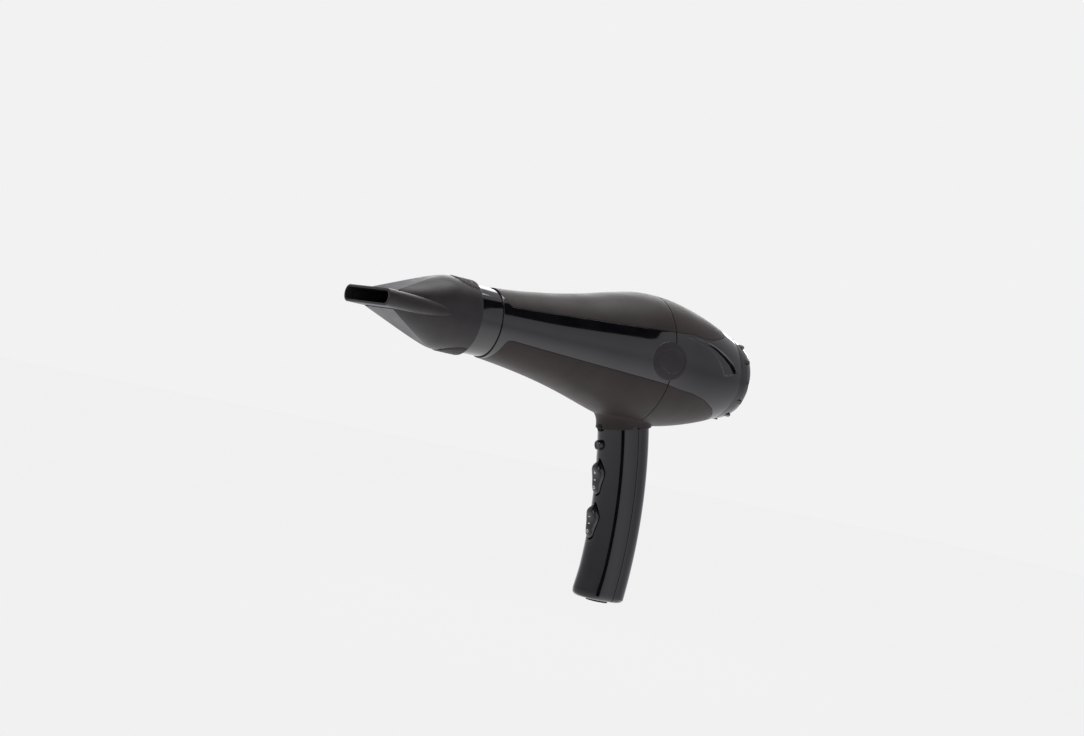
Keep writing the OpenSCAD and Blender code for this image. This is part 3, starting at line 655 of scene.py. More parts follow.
# %% The upper cover
def over_top(line):
    """Angle functions of a cover that closes over the top, down to a line on both sides."""
    return (lambda x: line_angle(line, x, GAP)), (lambda x: math.pi - line_angle(line, x, GAP))


def under_belly(line):
    """Angle functions of a cover that closes under the barrel, up to a line on both sides."""
    return (lambda x: -math.pi - line_angle(line, x, -GAP)), (lambda x: line_angle(line, x, -GAP))


top_skin = smooth(skin("top_cover_skin", FRONT_STATIONS, *over_top(TOP_LINE), 64, FINISHES["soft_touch"]))
place(top_skin, "housing", "soft_touch", "top_cover")

# %% [markdown]
# ## The neck
# The lower covers run down into a collar that holds the top of the handle. The collar swells into the
# barrel with a soft fillet, widest in front, and the parting line swings back a little on its way from
# the barrel to the grip. Each half is a grid: rows climb from the collar's lower rim into the barrel,
# and each row follows the handle's section from seam to seam.

# %% The two halves of the collar
COLLAR_OFF = 1.5
FRONT_FLARE = 7.6
BACK_FLARE = 8.4
SIDE_FLARE = 1.6


def collar_seam(z):
    """Place of the collar's parting line at a height."""
    return SEAM_X + 3.2 * ease((-z - 40) / 10)


def collar_point(angle, climb):
    """A point on the collar: angle round the section, climb from 0 at the rim to 1 in the barrel."""
    front = max(0.0, -math.cos(angle))
    back = max(0.0, math.cos(angle))
    flare = FRONT_FLARE * front**2 + BACK_FLARE * back**3 + SIDE_FLARE
    shift = math.copysign(HANDLE_A - HANDLE_B, math.cos(angle))

    def ring(out):
        b = HANDLE_B + COLLAR_OFF + out
        return at_handle(NECK_Z, shift + b * math.cos(angle), b * math.sin(angle))

    rim, top = ring(0.0), ring(flare)
    under = -math.sqrt(barrel_r(top[0]) ** 2 - top[1] ** 2)
    point = ring(flare * (1 - math.sqrt(1 - climb**2)))
    return (point[0], point[1], rim[2] + (under + 0.5 - rim[2]) * climb)


def collar_half(name, front):
    """One half of the collar, as a closed wall."""
    rows = []
    columns = 40
    side = -SEAM_GAP if front else SEAM_GAP
    for r in range(22):
        climb = math.sin(math.pi / 2 * r / 21)
        # the angle where this row meets the seam, by halving
        low, high = 0.02, math.pi - 0.02
        for _ in range(30):
            middle = (low + high) / 2
            point = collar_point(middle, climb)
            if point[0] > collar_seam(point[2]) + side:
                low = middle
            else:
                high = middle
        meet = (low + high) / 2
        start, end = (meet, 2 * math.pi - meet) if front else (-meet, meet)
        rows.append([collar_point(start + (end - start) * c / columns, climb) for c in range(columns + 1)])
    return tidy_outward(grid_object(name, rows, FINISHES["soft_touch"]))


def tidy_outward(obj):
    """Turns an open grid's faces away from the handle's axis."""
    work = bmesh.new()
    work.from_mesh(obj.data)
    total = 0.0
    for face in work.faces:
        face.normal_update()
        middle = face.calc_center_median()
        away = Vector((middle.x - handle_x(middle.z / MM) * MM, middle.y, 0))
        total += face.normal.dot(away) * face.calc_area()
    if total < 0:
        bmesh.ops.reverse_faces(work, faces=work.faces)
    work.to_mesh(obj.data)
    work.free()
    return obj


front_collar = thicken(collar_half("front_collar", True), 1.3, 0.4)
rear_collar = thicken(collar_half("rear_collar", False), 1.3, 0.4)
print("collar halves:", len(front_collar.data.polygons), "and", len(rear_collar.data.polygons), "faces")

# %% [markdown]
# The lower cover closes under the barrel as the upper one closes over it, and the front half of the
# collar is part of the same moulding. The two grids overlap a little inside and are joined as they are,
# because the fillet hides where they meet.

# %% The lower covers
LOWER_STATIONS = stations((35.3, 46, 24), (46, SEAM_X - SEAM_GAP, 56))
belly = skin("belly", LOWER_STATIONS, *under_belly(LOW_LINE), 64, FINISHES["soft_touch"])
lower_skin = smooth(join("bottom_cover_skin", belly, front_collar))
place(lower_skin, "housing", "soft_touch", "bottom_cover")

# %% [markdown]
# ## The rear housing
# Behind the seam the matt covers end in petals, and the glossy sides each have a scoop: a shallow
# tongue that starts soft at the side cap and ends in a steep wall towards the filter. The scoop is a
# function that lowers the panel's surface, so the same grid helper makes it.

# %% The scoop
SCOOP_DEPTH = 1.5
SOFT_EDGE = [
    (SEAM_X + 5.6, 21.0), (SEAM_X + 18, 19.2), (SEAM_X + 31, 16.2), (SEAM_X + 39, 11.4),
    (SEAM_X + 44.8, 5.5), (SEAM_X + 48.6, -0.2),
]
STEEP_EDGE = [
    (SEAM_X + 48.6, -0.2), (SEAM_X + 56, 1.2), (SEAM_X + 64.2, 4.6), (SEAM_X + 58, 10.6),
    (SEAM_X + 50, 15.4), (SEAM_X + 40, 19.6), (SEAM_X + 30.8, 21.6), (SEAM_X + 18, 22.3),
    (SEAM_X + 5.6, 21.0),
]
INTAKE = [
    (SEAM_X + 60.6, 6.4), (SEAM_X + 55.6, 10.6), (SEAM_X + 48.6, 14.6), (SEAM_X + 40, 18.2),
    (SEAM_X + 31.6, 20.3),
]
INTAKE_DEPTH = 2.4
INTAKE_ROOM = 4.2
CORE_DEPTH = 7.5


def distance_to(line, x, z):
    """Shortest distance from a point to a line of straight pieces, in side view."""
    best = 1e9
    for (x0, z0), (x1, z1) in zip(line, line[1:]):
        dx, dz = x1 - x0, z1 - z0
        t = max(0.0, min(1.0, ((x - x0) * dx + (z - z0) * dz) / (dx * dx + dz * dz)))
        best = min(best, math.hypot(x - x0 - t * dx, z - z0 - t * dz))
    return best


def within(outline, x, z):
    """Whether a point lies inside an outline."""
    inside = False
    for (x0, z0), (x1, z1) in zip(outline, outline[1:] + outline[:1]):
        if (z0 > z) != (z1 > z) and x < x0 + (z - z0) * (x1 - x0) / (z1 - z0):
            inside = not inside
    return inside


def scoop(x, y, z):
    """How far the rear panel's surface is lowered at a point."""
    if not within(SOFT_EDGE + STEEP_EDGE[1:-1], x, z):
        return 0.0
    soft = ease(distance_to(SOFT_EDGE, x, z) / 2.2)
    steep = ease(distance_to(STEEP_EDGE, x, z) / 1.8)
    along = max(0.0, min(1.0, (INTAKE[0][0] - x) / (INTAKE[0][0] - INTAKE[-1][0])))
    width = 2.3 - 1.5 * along
    slot = ease((width - distance_to(INTAKE, x, z)) / 1.3)
    return -(SCOOP_DEPTH * soft + INTAKE_DEPTH * slot) * steep


def rear_core():
    """The stepped-in rear shell and the ring that the filter cap turns on."""
    outer = []
    for x in np.linspace(SEAM_X + GAP, BODY_LEN - 1, 40):
        # under the petals the core backs them; behind them it steps in below the intake slots
        past_petals = ease((x - SEAM_X - 24) / 4)
        before_rim = ease((BODY_LEN - 1.5 - x) / 1.5)
        outer.append((x, barrel_r(x) - STEP_IN - INTAKE_ROOM * past_petals * before_rim))
    spigot_r = CAP_R - 3.4
    end = [
        (BODY_LEN - 0.1, barrel_r(BODY_LEN) - 1.0), (BODY_LEN - 0.1, spigot_r), (BODY_LEN + 3.6, spigot_r),
        (BODY_LEN + 4, spigot_r - 0.4), (BODY_LEN + 4, spigot_r - 2), (BODY_LEN - 4, spigot_r - 2),
    ]
    inner = [(x, barrel_r(x) - CORE_DEPTH) for x in np.linspace(BODY_LEN - 8, SEAM_X + GAP, 20)]
    return smooth(turned("rear_core", outer + end + inner, FINISHES["gloss_black"]), 40)


panels = [
    skin(
        f"rear_panel_{side}", REAR_STATIONS, *side_angles(REAR_LOW_LINE, REAR_TOP_LINE, side), 110,
        FINISHES["gloss_black"], lift=scoop, dense=(-2.5, 24.5),
    )
    for side in (1, -1)
]
rear_shell = smooth(join("rear_shell", rear_core(), *panels))
place(rear_shell, "housing", "gloss_black", "rear_housing")

# %% [markdown]
# The matt petals are covers like the front ones, only they run out towards the filter. Their rows step
# closer together at the tips, where the lines turn most. The rear half of the collar joins the lower one.

# %% The rear petals
PETAL_STATIONS = stations((SEAM_X + SEAM_GAP, SEAM_X + 46, 40), (SEAM_X + 46, SEAM_X + 56.9, 26))
top_petal = skin("rear_top_skin", PETAL_STATIONS, *over_top(REAR_TOP_LINE), 64, FINISHES["soft_touch"])
top_petal = smooth(top_petal)
place(top_petal, "housing", "soft_touch", "rear_top_cover")

BELLY_STATIONS = stations((SEAM_X + SEAM_GAP, SEAM_X + 46, 40), (SEAM_X + 46, SEAM_X + 59.4, 30))
petal = skin("petal", BELLY_STATIONS, *under_belly(REAR_LOW_LINE), 64, FINISHES["soft_touch"])
low_petal = smooth(join("rear_bottom_skin", petal, rear_collar))
place(low_petal, "housing", "soft_touch", "rear_bottom_cover")

# %% [markdown]
# ## The side caps
# A round cap covers each side of the seam. Its face carries a drop shape that points towards the
# nozzle, set off by a narrow groove. The mesh is a set of rings that starts as the drop and turns
# into the circle, and every point is laid on the barrel's skin.

# %% Two side caps
CAP_X = SEAM_X - 3.3
CAP_Z = 1.4
CAP_EDGE = (node_box("side_cap_left")[1][0] - node_box("side_cap_left")[0][0]) / 2
DROP_R = 8.2


def drop_point(angle, r):
    """A point on the drop's outline: a circle with a tip towards the nozzle."""
    x, z = 2.4 + r * math.cos(angle), r * math.sin(angle)
    turn = math.radians(122)
    if abs(angle) > turn:
        tip = -5.6 - 0.75 * r
        edge_x, edge_z = 2.4 + r * math.cos(turn), r * math.sin(turn)
        t = (abs(angle) - turn) / (math.pi - turn)
        bulge = 0.9 * math.sin(math.pi * t)
        x = edge_x + (tip - edge_x) * t
        z = math.copysign(edge_z * (1 - t) + bulge, angle)
    return x, z


def side_cap(name, side):
    """A cap on one side: rings of points with a height above the skin."""
    count = 96
    # each ring: (share of the way from drop to circle, scale of the drop, height)
    rings = [(0, s, 0.49 - 0.1 * s) for s in (0.12, 0.4, 0.7, 0.9, 0.97)]
    rings += [(0, 1.0, 0.3), (0, 1.015, -0.25), (0, 1.06, -0.3), (0, 1.075, 0.12), (0, 1.1, 0.3)]
    rings += [(t, 1.1, 0.36) for t in (0.3, 0.6, 0.8, 0.93)]
    rings += [(0.975, 1.1, 0.28), (1.0, 1.1, 0.1), (1.0, 1.1, -1.1)]
    points = []
    for share, scale, height in rings:
        for k in range(count):
            angle = 2 * math.pi * k / count
            angle = angle - 2 * math.pi if angle > math.pi else angle
            x, z = drop_point(angle, DROP_R * scale)
            turn = math.atan2(z, x)
            x += (CAP_EDGE * math.cos(turn) - x) * share
            z += (CAP_EDGE * math.sin(turn) - z) * share
            x, z = x + CAP_X, z + CAP_Z
            radius = barrel_r(x) + height
            points.append((x, side * math.sqrt(radius**2 - z**2), z))
    faces = grid_faces(len(rings), count, loop=True)
    faces.append(tuple(range(count)))
    last = (len(rings) - 1) * count
    faces.append(tuple(range(last, last + count))[::-1])
    return smooth(tidy_mesh(mesh_object(name, points, faces, SATIN)), 30)


for side, node in ((1, "side_cap_left"), (-1, "side_cap_right")):
    if node_box(node)[1][1] * side < 0:
        side = -side
    place(side_cap(node + "_face", side), "housing", "gloss_black", node)

# %% [markdown]
# ## The grip
# The handle is two half shells that meet on a curved parting line. Each half is a grid swept along
# the arc, rounded under at the foot and closed in to the hole that the lead would pass. The switch
# openings are cut afterwards with solid cutters, which is how a toolmaker thinks of them too.

# %% The handle's halves
FOOT_ROUND = 3.4
GLAND_R = 6.3
GLAND_X = handle_x(FOOT_Z)


def half_section(front):
    """Points of a half section from seam to seam, each with its angle."""
    reach = SPLIT_X + (-GAP if front else GAP)
    meet = math.acos(max(-1.0, min(1.0, (reach - (HANDLE_A - HANDLE_B)) / HANDLE_B)))
    columns = 44
    start, end = (meet, 2 * math.pi - meet) if front else (-meet, meet)
    points = []
    for c in range(columns + 1):
        angle = start + (end - start) * c / columns
        shift = (HANDLE_A - HANDLE_B) * (1 if math.cos(angle) > 0 else -1)
        points.append((shift + HANDLE_B * math.cos(angle), HANDLE_B * math.sin(angle), angle))
    return points


def handle_half(name, front):
    """One half of the grip with its rounded foot, as a walled shell."""
    rows = []
    heights = stations((-42 if front else -46, FOOT_Z + FOOT_ROUND, 70))
    for z in heights:
        swell = 0.9 * ease((-z - 148) / 20)
        row = []
        for x, y, angle in half_section(front):
            forward = swell * max(0.0, -math.cos(angle)) ** 1.5
            row.append(at_handle(z, x - forward, y))
        rows.append(row)
    base = rows[-1]
    for k in range(1, 7):
        turn = math.pi / 2 * k / 6
        inset = FOOT_ROUND * (1 - math.cos(turn))
        row = []
        for (_, _, angle), top in zip(half_section(front), base):
            pull = inset / HANDLE_B
            row.append((
                top[0] - inset * math.cos(angle),
                top[1] * (1 - pull),
                FOOT_Z + FOOT_ROUND * (1 - math.sin(turn)),
            ))
        seam = at_handle(FOOT_Z + 1, SPLIT_X + (-GAP if front else GAP), 0)[0]
        row[0] = (seam, row[0][1], row[0][2])
        row[-1] = (seam, row[-1][1], row[-1][2])
        rows.append(row)
    rim = rows[-1]
    seam = rim[0][0]
    hole = []
    meet = math.acos((seam - GLAND_X) / GLAND_R)
    start, end = (meet, 2 * math.pi - meet) if front else (-meet, meet)
    count = len(rim)
    for c in range(count):
        angle = start + (end - start) * c / (count - 1)
        hole.append((GLAND_X + GLAND_R * math.cos(angle), GLAND_R * math.sin(angle), FOOT_Z))
    for k in range(1, 7):
        t = k / 6
        rows.append([tuple(p[i] + (q[i] - p[i]) * t for i in range(3)) for p, q in zip(rim, hole)])
    return tidy_outward(grid_object(name, rows, FINISHES["gloss_black"]))


print("the foot's hole is at x", round(GLAND_X, 1), "mm")

# %% [markdown]
# The openings have a rocker's outline, a little wider all round, and the button and the screws have
# round holes. They could be left out of the grid, but a solid cutter gives an exact rim in any wall.

# %% Cutters for the switch openings
def rocker_outline(half_w, half_h, count=20):
    """Front view of a rocker, as (y, z): narrow and round below, wide above, with a pointed tip."""
    points = []
    for k in range(count):
        z = -half_h + 2 * half_h * k / (count - 1)
        share = k / (count - 1)
        foot = math.sqrt(max(0.0, 1 - (1 - min(1.0, share / 0.14)) ** 2))
        waist = 0.62 + 0.38 * ease((share - 0.1) / 0.5)
        tip = 1 - min(1.0, max(0.0, (share - 0.62) / 0.38)) ** 1.7
        points.append((half_w * foot * waist * tip, z))
    return points


def outline_loop(half_w, half_h):
    """The closed outline, up the right side and down the left."""
    right = rocker_outline(half_w, half_h)
    left = [(-y, z) for y, z in reversed(right[1:-1])]
    return right + left


def cutter(height, half_w, half_h):
    """A closed prism through the handle's front wall, with the rocker's outline."""
    loop = outline_loop(half_w, half_h)
    rows = [[at_handle(height, x, y, z) for y, z in loop] for x in (-HANDLE_A - 8, -HANDLE_A + 9)]
    return tidy_mesh(grid_object("cutter", rows, INK, loop=True, caps=True))


def round_cutter(height, radius, x0, x1):
    """A closed cylinder along the handle's own X."""
    rows = [[at_handle(height, x, y, z) for y, z in circle(radius, 32)] for x in (x0, x1)]
    return tidy_mesh(grid_object("cutter", rows, INK, loop=True, caps=True))


def cut(obj, cutters, operation="DIFFERENCE"):
    """Cuts or adds solids exactly and settles the result."""
    for tool in cutters:
        step = obj.modifiers.new("cut", "BOOLEAN")
        step.operation = operation
        step.solver = "EXACT"
        step.object = tool
        settle(obj)
        bpy.data.objects.remove(tool)
    return obj


ROCKER_W = 5.9
ROCKER_H = 13.2
ROCKER_GAP = 0.35
TILT_GAP = 1.0
BUTTON_HOLE_R = 3.65
WELL_R = 3.0
SCREW_HEIGHTS = (-68, -131)

front_half = thicken(handle_half("handle_front_shell", True), HANDLE_WALL, 0.3)
openings = [cutter(z, ROCKER_W + ROCKER_GAP, ROCKER_H + ROCKER_GAP) for z in (HEAT_Z, SPEED_Z)]
openings.append(round_cutter(COLD_Z, BUTTON_HOLE_R, -HANDLE_A - 8, -HANDLE_A + 8))
front_half = smooth(cut(front_half, openings), 30)
place(front_half, "housing", "gloss_black", "handle_front")

rear_half = thicken(handle_half("handle_rear_shell", False), HANDLE_WALL, 0.3)
wells = [round_cutter(z, WELL_R, HANDLE_A - 6, HANDLE_A + 6) for z in SCREW_HEIGHTS]
rear_half = smooth(cut(rear_half, wells), 30)
place(rear_half, "housing", "gloss_black", "handle_rear")

# %% [markdown]
# ## Switches
# Each rocker is a crowned cap, pointed at the top, with a raised upper half for the thumb. A row of
# arches, each the rocker's width at its height, makes one closed body. A thin raised lip runs round
# each opening, and small printed marks show the settings.

# %% A rocker's body
def crown_height(share):
    """How far the rocker stands out of the handle, from its bottom end (0) to its tip (1)."""
    humps = [(0, 0.7), (0.1, 2.3), (0.25, 2.9), (0.45, 2.5), (0.6, 3.0), (0.76, 4.3), (0.84, 3.9), (1, 0.4)]
    return float(np.interp(share, *zip(*humps)))


def softened(function, share, reach=0.06):
    """A function's mean over a short stretch, which rounds its corners."""
    return sum(function(min(1.0, max(0.0, share + reach * k / 3))) for k in range(-3, 4)) / 7


def rocker_body(name, height):
    """The closed body of a rocker, in place at rest."""
    rows = []
    levels = 34
    outline = rocker_outline(ROCKER_W, ROCKER_H - TILT_GAP, levels)
    for k, (half, z) in enumerate(outline):
        half = max(half, 0.25)
        share = k / (levels - 1)
        top = crown_at(share)
        row = []
        for c in range(21):
            turn = math.pi * c / 20
            y = -half * math.copysign(abs(math.cos(turn)) ** 0.55, math.cos(turn))
            rise = top * math.sin(turn) ** 0.6
            row.append(at_handle(height, -HANDLE_A - rise, y, z))
        row.append(at_handle(height, -HANDLE_A + 2.6, half, z))
        row.append(at_handle(height, -HANDLE_A + 2.6, -half, z))
        rows.append(row)
    return tidy_mesh(grid_object(name, rows, FINISHES["gloss_black"], loop=True, caps=True))


def crown_at(share):
    """The crown's middle line, which shapes the rocker and carries its marks."""
    return softened(crown_height, share)


print("a rocker's crown is", round(crown_at(0.5), 2), "mm high in the middle")

# %% [markdown]
# The marks are pad-printed on the crown. A picture could be wrapped on, but thin strokes of ink that
# follow the crown stay sharp in any view. The signs are generic: a star, bars and a ring.

# %% Printed marks
def mark(height, share, strokes):
    """Flat strokes of ink on the rocker's crown: each is (y0, z0, y1, z1, width) in millimetres."""
    z_mid = -ROCKER_H + 2 * ROCKER_H * share
    pieces = []
    for y0, z0, y1, z1, width in strokes:
        length = math.hypot(y1 - y0, z1 - z0)
        side_y, side_z = -(z1 - z0) / length * width / 2, (y1 - y0) / length * width / 2
        corners = [
            (y0 + side_y, z0 + side_z), (y1 + side_y, z1 + side_z),
            (y1 - side_y, z1 - side_z), (y0 - side_y, z0 - side_z),
        ]
        rows = []
        for lift in (0.07, -0.25):
            row = []
            for y, z in corners:
                up = crown_at((z_mid + z + ROCKER_H) / (2 * ROCKER_H))
                dome = (1 - (abs(y) / ROCKER_W) ** 3.4)
                row.append(at_handle(height, -HANDLE_A - up * dome - lift, y, z_mid + z))
            rows.append(row)
        pieces.append(tidy_mesh(grid_object("stroke", rows, INK, loop=True, caps=True)))
    return pieces


def ring_strokes(radius, width, count=10):
    """Short strokes that close into a ring."""
    corners = circle(radius, count)
    return [(*p, *q, width) for p, q in zip(corners, corners[1:] + corners[:1])]


def star_strokes(radius, width):
    """Three strokes that cross."""
    return [
        (-radius * math.cos(a), -radius * math.sin(a), radius * math.cos(a), radius * math.sin(a), width)
        for a in (0.35, 0.35 + math.pi / 3, 0.35 + 2 * math.pi / 3)
    ]


BAR = [(-1.0, 0.0, 1.0, 0.0, 0.7)]
TWO_BARS = [(-1.0, 0.6, 1.0, 0.6, 0.5), (-1.0, -0.6, 1.0, -0.6, 0.5)]
for name, height, signs in (
    ("heat_rocker", HEAT_Z, (star_strokes(1.4, 0.4), BAR, ring_strokes(1.0, 0.42))),
    ("speed_rocker", SPEED_Z, (TWO_BARS, BAR, ring_strokes(1.0, 0.42))),
):
    parts = [rocker_body(name + "_body", height)]
    for share, strokes in zip((0.62, 0.42, 0.22), signs):
        parts += mark(height, share, strokes)
    rocker = smooth(join(name + "_cap", *parts), 50)
    place(rocker, name, "gloss_black", name)

# %% [markdown]
# A thin raised lip guards each opening, and a short brow runs beside each rocker. Both are round beads
# drawn along a path on the grip's front, which is simpler than raising the grip's own surface.

# %% The raised lips
def bead(name, points, radius, closed, material, sides=8):
    """A round bead along a path of points."""
    rows = []
    count = len(points)
    for k, point in enumerate(points):
        here = Vector(point)
        after = Vector(points[(k + 1) % count] if closed or k < count - 1 else points[k])
        before = Vector(points[k - 1] if closed or k > 0 else points[k])
        along = (after - before).normalized()
        out = Vector((-1, 0, 0)) - along * along.dot(Vector((-1, 0, 0)))
        out.normalize()
        across = along.cross(out)
        thin = radius if closed else radius * (0.25 + 0.75 * math.sin(math.pi * (k + 0.5) / count) ** 0.5)
        turns = [2 * math.pi * s / sides for s in range(sides)]
        rows.append([tuple(here + out * thin * math.cos(t) + across * thin * math.sin(t)) for t in turns])
    if closed:
        rows.append(rows[0])
        return tidy_mesh(grid_object(name, rows, material, loop=True))
    return tidy_mesh(grid_object(name, rows, material, loop=True, caps=True))


def on_handle(height, y, z):
    """A point on the front of the grip."""
    b = HANDLE_B
    x = -(HANDLE_A - HANDLE_B) - math.sqrt(max(0.0, b * b - y * y))
    return at_handle(height, x, y, z)


lips = []
for height in (HEAT_Z, SPEED_Z):
    loop = outline_loop(ROCKER_W + ROCKER_GAP + 0.25, ROCKER_H + ROCKER_GAP + 0.25)
    lips.append(bead("lip", [on_handle(height, y, z) for y, z in loop], 0.32, True, FINISHES["gloss_black"]))
    for sign, reach in ((1, 9.0), (-1, 7.2)):
        if (height == HEAT_Z) == (sign > 0):
            arc = [
                on_handle(height, 6.6 * math.sin(a), sign * (reach + 7.6 * math.cos(a)))
                for a in np.linspace(-1.15, 1.15, 25)
            ]
            lips.append(bead("brow", arc, 0.42, False, FINISHES["gloss_black"]))
handle_trim = smooth(join("switch_lips", *lips), 50)
place(handle_trim, "housing", "gloss_black")

# %% [markdown]
# The button is turned, so a list of radii and heights makes it. Its underside is hollow, because the
# return spring sits in there and has to stay clear when the button is pressed.

# %% The cold-shot button
BUTTON_R = 3.5


def button():
    """A round push button with a softened rim and a slightly dished face."""
    profile = [
        (0.0, 2.9), (1.6, 2.95), (2.5, 3.2), (3.1, 3.05), (BUTTON_R, 2.5), (BUTTON_R, -4.6), (4.6, -4.6),
        (4.6, -6.0), (3.15, -6.0), (3.15, 0.2), (0.0, 0.2),
    ]
    rows = []
    for r, out in profile:
        rows.append([at_handle(COLD_Z, -HANDLE_A - out, y, z) for y, z in circle(max(r, 0.01), 48)])
    face = grid_object("cold_shot_face", rows, FINISHES["gloss_black"], loop=True, caps=True)
    return smooth(tidy_mesh(face), 35)


place(button(), "cold_shot", "gloss_black", "cold_shot_button")

# %% [markdown]
# ## The nozzle
# The concentrator starts as a round collar and ends in a long slot. Two flat facets, above and below,
# run from a point at the collar to the slot, and the sides between them stay round, so a crisp crease
# appears and grows towards the slot. A blade with round ends crosses the body and carries the slot.
# The three solids are added together and then hollowed, which keeps every crease exact.

# %% The nozzle's solids
COLLAR_R = node_box("nozzle_grip_upper")[1][2] - 1.1
COLLAR_LEN = 18.0
COLLAR_WALL = 1.3
SLOT_X = node_box("nozzle_body")[0][0]
SLOT_W = node_box("nozzle_body")[1][1]
SLOT_H = 5.7
NOZZLE_WALL = 1.6
KNEE = 10.5
FACET_X = 0.0
SHOULDER = 0.16
FACET_W = 21.0
FACET_H = 6.2


def nozzle_loop(share, inset, count=24):
    """The body's section on its way from the collar (0) to the slot (1)."""
    wide = COLLAR_R + (23.2 - COLLAR_R) * share**1.4 - inset
    fall = (math.hypot(share, SHOULDER) - SHOULDER) / (math.hypot(1, SHOULDER) - SHOULDER)
    high = COLLAR_R + (FACET_H - COLLAR_R) * fall - inset
    flat = min(FACET_W * share, wide * 0.985)
    tall = high / math.sqrt(1 - (flat / wide) ** 2)
    side = []
    for k in range(count + 1):
        z = -high * math.cos(math.pi * k / count)
        side.append((wide * math.sqrt(max(0.0, 1 - (z / tall) ** 2)), z))
    top = [(flat * (1 - 2 * k / 8), high) for k in range(1, 8)]
    left = [(-y, -z) for y, z in side]
    low = [(-flat * (1 - 2 * k / 8), -high) for k in range(1, 8)]
    return side + top + left + low


def nozzle_solid(name, inset):
    """The body from the collar's rim to just behind the slot, as a closed solid."""
    end = SLOT_X + KNEE
    back = [(COLLAR_LEN, 0.55), (COLLAR_LEN - 0.2, 0.2), (COLLAR_LEN - 0.6, 0.0), (FACET_X + 1, 0.0)]
    if inset:
        back = back[3:]
    rows = [[(x, y, z) for y, z in nozzle_loop(0, inset + fall)] for x, fall in back]
    for k in range(21):
        share = k / 20
        x = FACET_X + (end - FACET_X) * share
        rows.append([(x, y, z) for y, z in nozzle_loop(share, inset)])
    return tidy_mesh(grid_object(name, rows, SATIN, loop=True, caps=True))


def lens_loop(x, half_w, half_h, sides=16):
    """A flat section with round ends."""
    half_h = min(half_h, half_w)
    loop = []
    for sign in (1, -1):
        for k in range(sides + 1):
            turn = -math.pi / 2 + math.pi * k / sides
            out = half_w - half_h + half_h * math.cos(turn)
            loop.append((x, sign * out, sign * half_h * math.sin(turn)))
    return loop


def blade_solid(name, inset):
    """The blade from the slot back to the sides of the collar: it keeps its height, then rounds off."""
    rows = []
    front = SLOT_X + 4.5
    back = -1.0 - 8 * inset
    for k in range(31):
        share = math.sin(math.pi / 2 * k / 30)
        x = front + (back - front) * share
        half_w = SLOT_W + (COLLAR_R - 0.6 - SLOT_W) * (x - front) / (-1.0 - front) - inset
        half_h = (SLOT_H - inset) * math.sqrt(max(0.0, 1 - share**3.2))
        rows.append(lens_loop(x, half_w, max(half_h, 0.2)))
    return tidy_mesh(grid_object(name, rows, SATIN, loop=True, caps=True))


def slot_lip(name, inset, start, end):
    """The straight part behind the slot's rim."""
    rim = 0.0 if inset else 0.45
    rows = [
        lens_loop(start, SLOT_W - inset - rim, SLOT_H - inset - rim),
        lens_loop(start + (0.45 if rim else 0.2), SLOT_W - inset, SLOT_H - inset),
        lens_loop(end, SLOT_W - inset, SLOT_H - inset),
    ]
    return tidy_mesh(grid_object(name, rows, SATIN, loop=True, caps=True))


def nozzle():
    """Adds the solids, hollows them and gives the collar its bore."""
    body = nozzle_solid("nozzle_shell", 0)
    cut(body, [blade_solid("blade", 0), slot_lip("lip", 0, SLOT_X, SLOT_X + 6)], "UNION")
    bore = turned(
        "bore",
        [
            (0.4, 0.0), (0.4, COLLAR_R - COLLAR_WALL), (COLLAR_LEN + 1, COLLAR_R - COLLAR_WALL),
            (COLLAR_LEN + 1, 0.0),
        ],
        SATIN,
    )
    hollows = [nozzle_solid("hollow", NOZZLE_WALL), blade_solid("slit", NOZZLE_WALL)]
    hollows += [slot_lip("mouth", NOZZLE_WALL, SLOT_X - 1, SLOT_X + 7), bore]
    cut(body, hollows)
    partings = []
    for side in (1, -1):
        line = [(x, side * (COLLAR_R - 0.02), 0.0) for x in np.linspace(2.5, COLLAR_LEN - 0.8, 9)]
        partings.append(bead("parting", line, 0.16, False, SATIN))
    return smooth(join("nozzle_shell", body, *partings), 16)


place(nozzle(), "nozzle", "gloss_black", "nozzle_body")

# %% [markdown]
# ## What repeats
# Lugs, slats and mesh wires are all one small shape placed many times by a rule. Geometry Nodes suit
# that: a tree takes the sizes as named inputs, places instances and realizes them. The helpers
# below start a tree, and turn its result into a plain mesh.

# %% Geometry Nodes helpers
def new_tree(name, sizes):
    """A node tree with named size inputs, in metres or as counts."""
    tree = bpy.data.node_groups.new(name, "GeometryNodeTree")
    tree.interface.new_socket("Geometry", in_out="INPUT", socket_type="NodeSocketGeometry")
    for key, value in sizes.items():
        kind = "NodeSocketInt" if isinstance(value, int) else "NodeSocketFloat"
        tree.interface.new_socket(key, in_out="INPUT", socket_type=kind)
    tree.interface.new_socket("Geometry", in_out="OUTPUT", socket_type="NodeSocketGeometry")
    return tree, add_node(tree, "NodeGroupInput")


def finish_tree(tree, instances, material):
    """Ends a tree in Realize Instances and Set Material."""
    real = add_node(tree, "GeometryNodeRealizeInstances", links=[("Geometry", instances)])
    painted = add_node(
        tree, "GeometryNodeSetMaterial",
        links=[("Geometry", real.outputs[0])], values=[("Material", material)],
    )
    add_node(tree, "NodeGroupOutput", links=[("Geometry", painted.outputs[0])])


def grow(name, tree, sizes, material):
    """Runs a tree on an empty mesh, with its inputs set by identifier, and keeps the plain mesh."""
    obj = mesh_object(name, [], [], material)
    step = obj.modifiers.new("grow", "NODES")
    step.node_group = tree
    for item in tree.interface.items_tree:
        if item.in_out == "INPUT" and item.name in sizes:
            step[item.identifier] = sizes[item.name]
    return settle(obj)


print("tree helpers ready")

# %% [markdown]
# The nozzle is turned by two ribbed pads near its rim. Ribs could be separate bars, but these are low
# and moulded in one with the pad, so the pad is one grid whose height ripples along the axis.

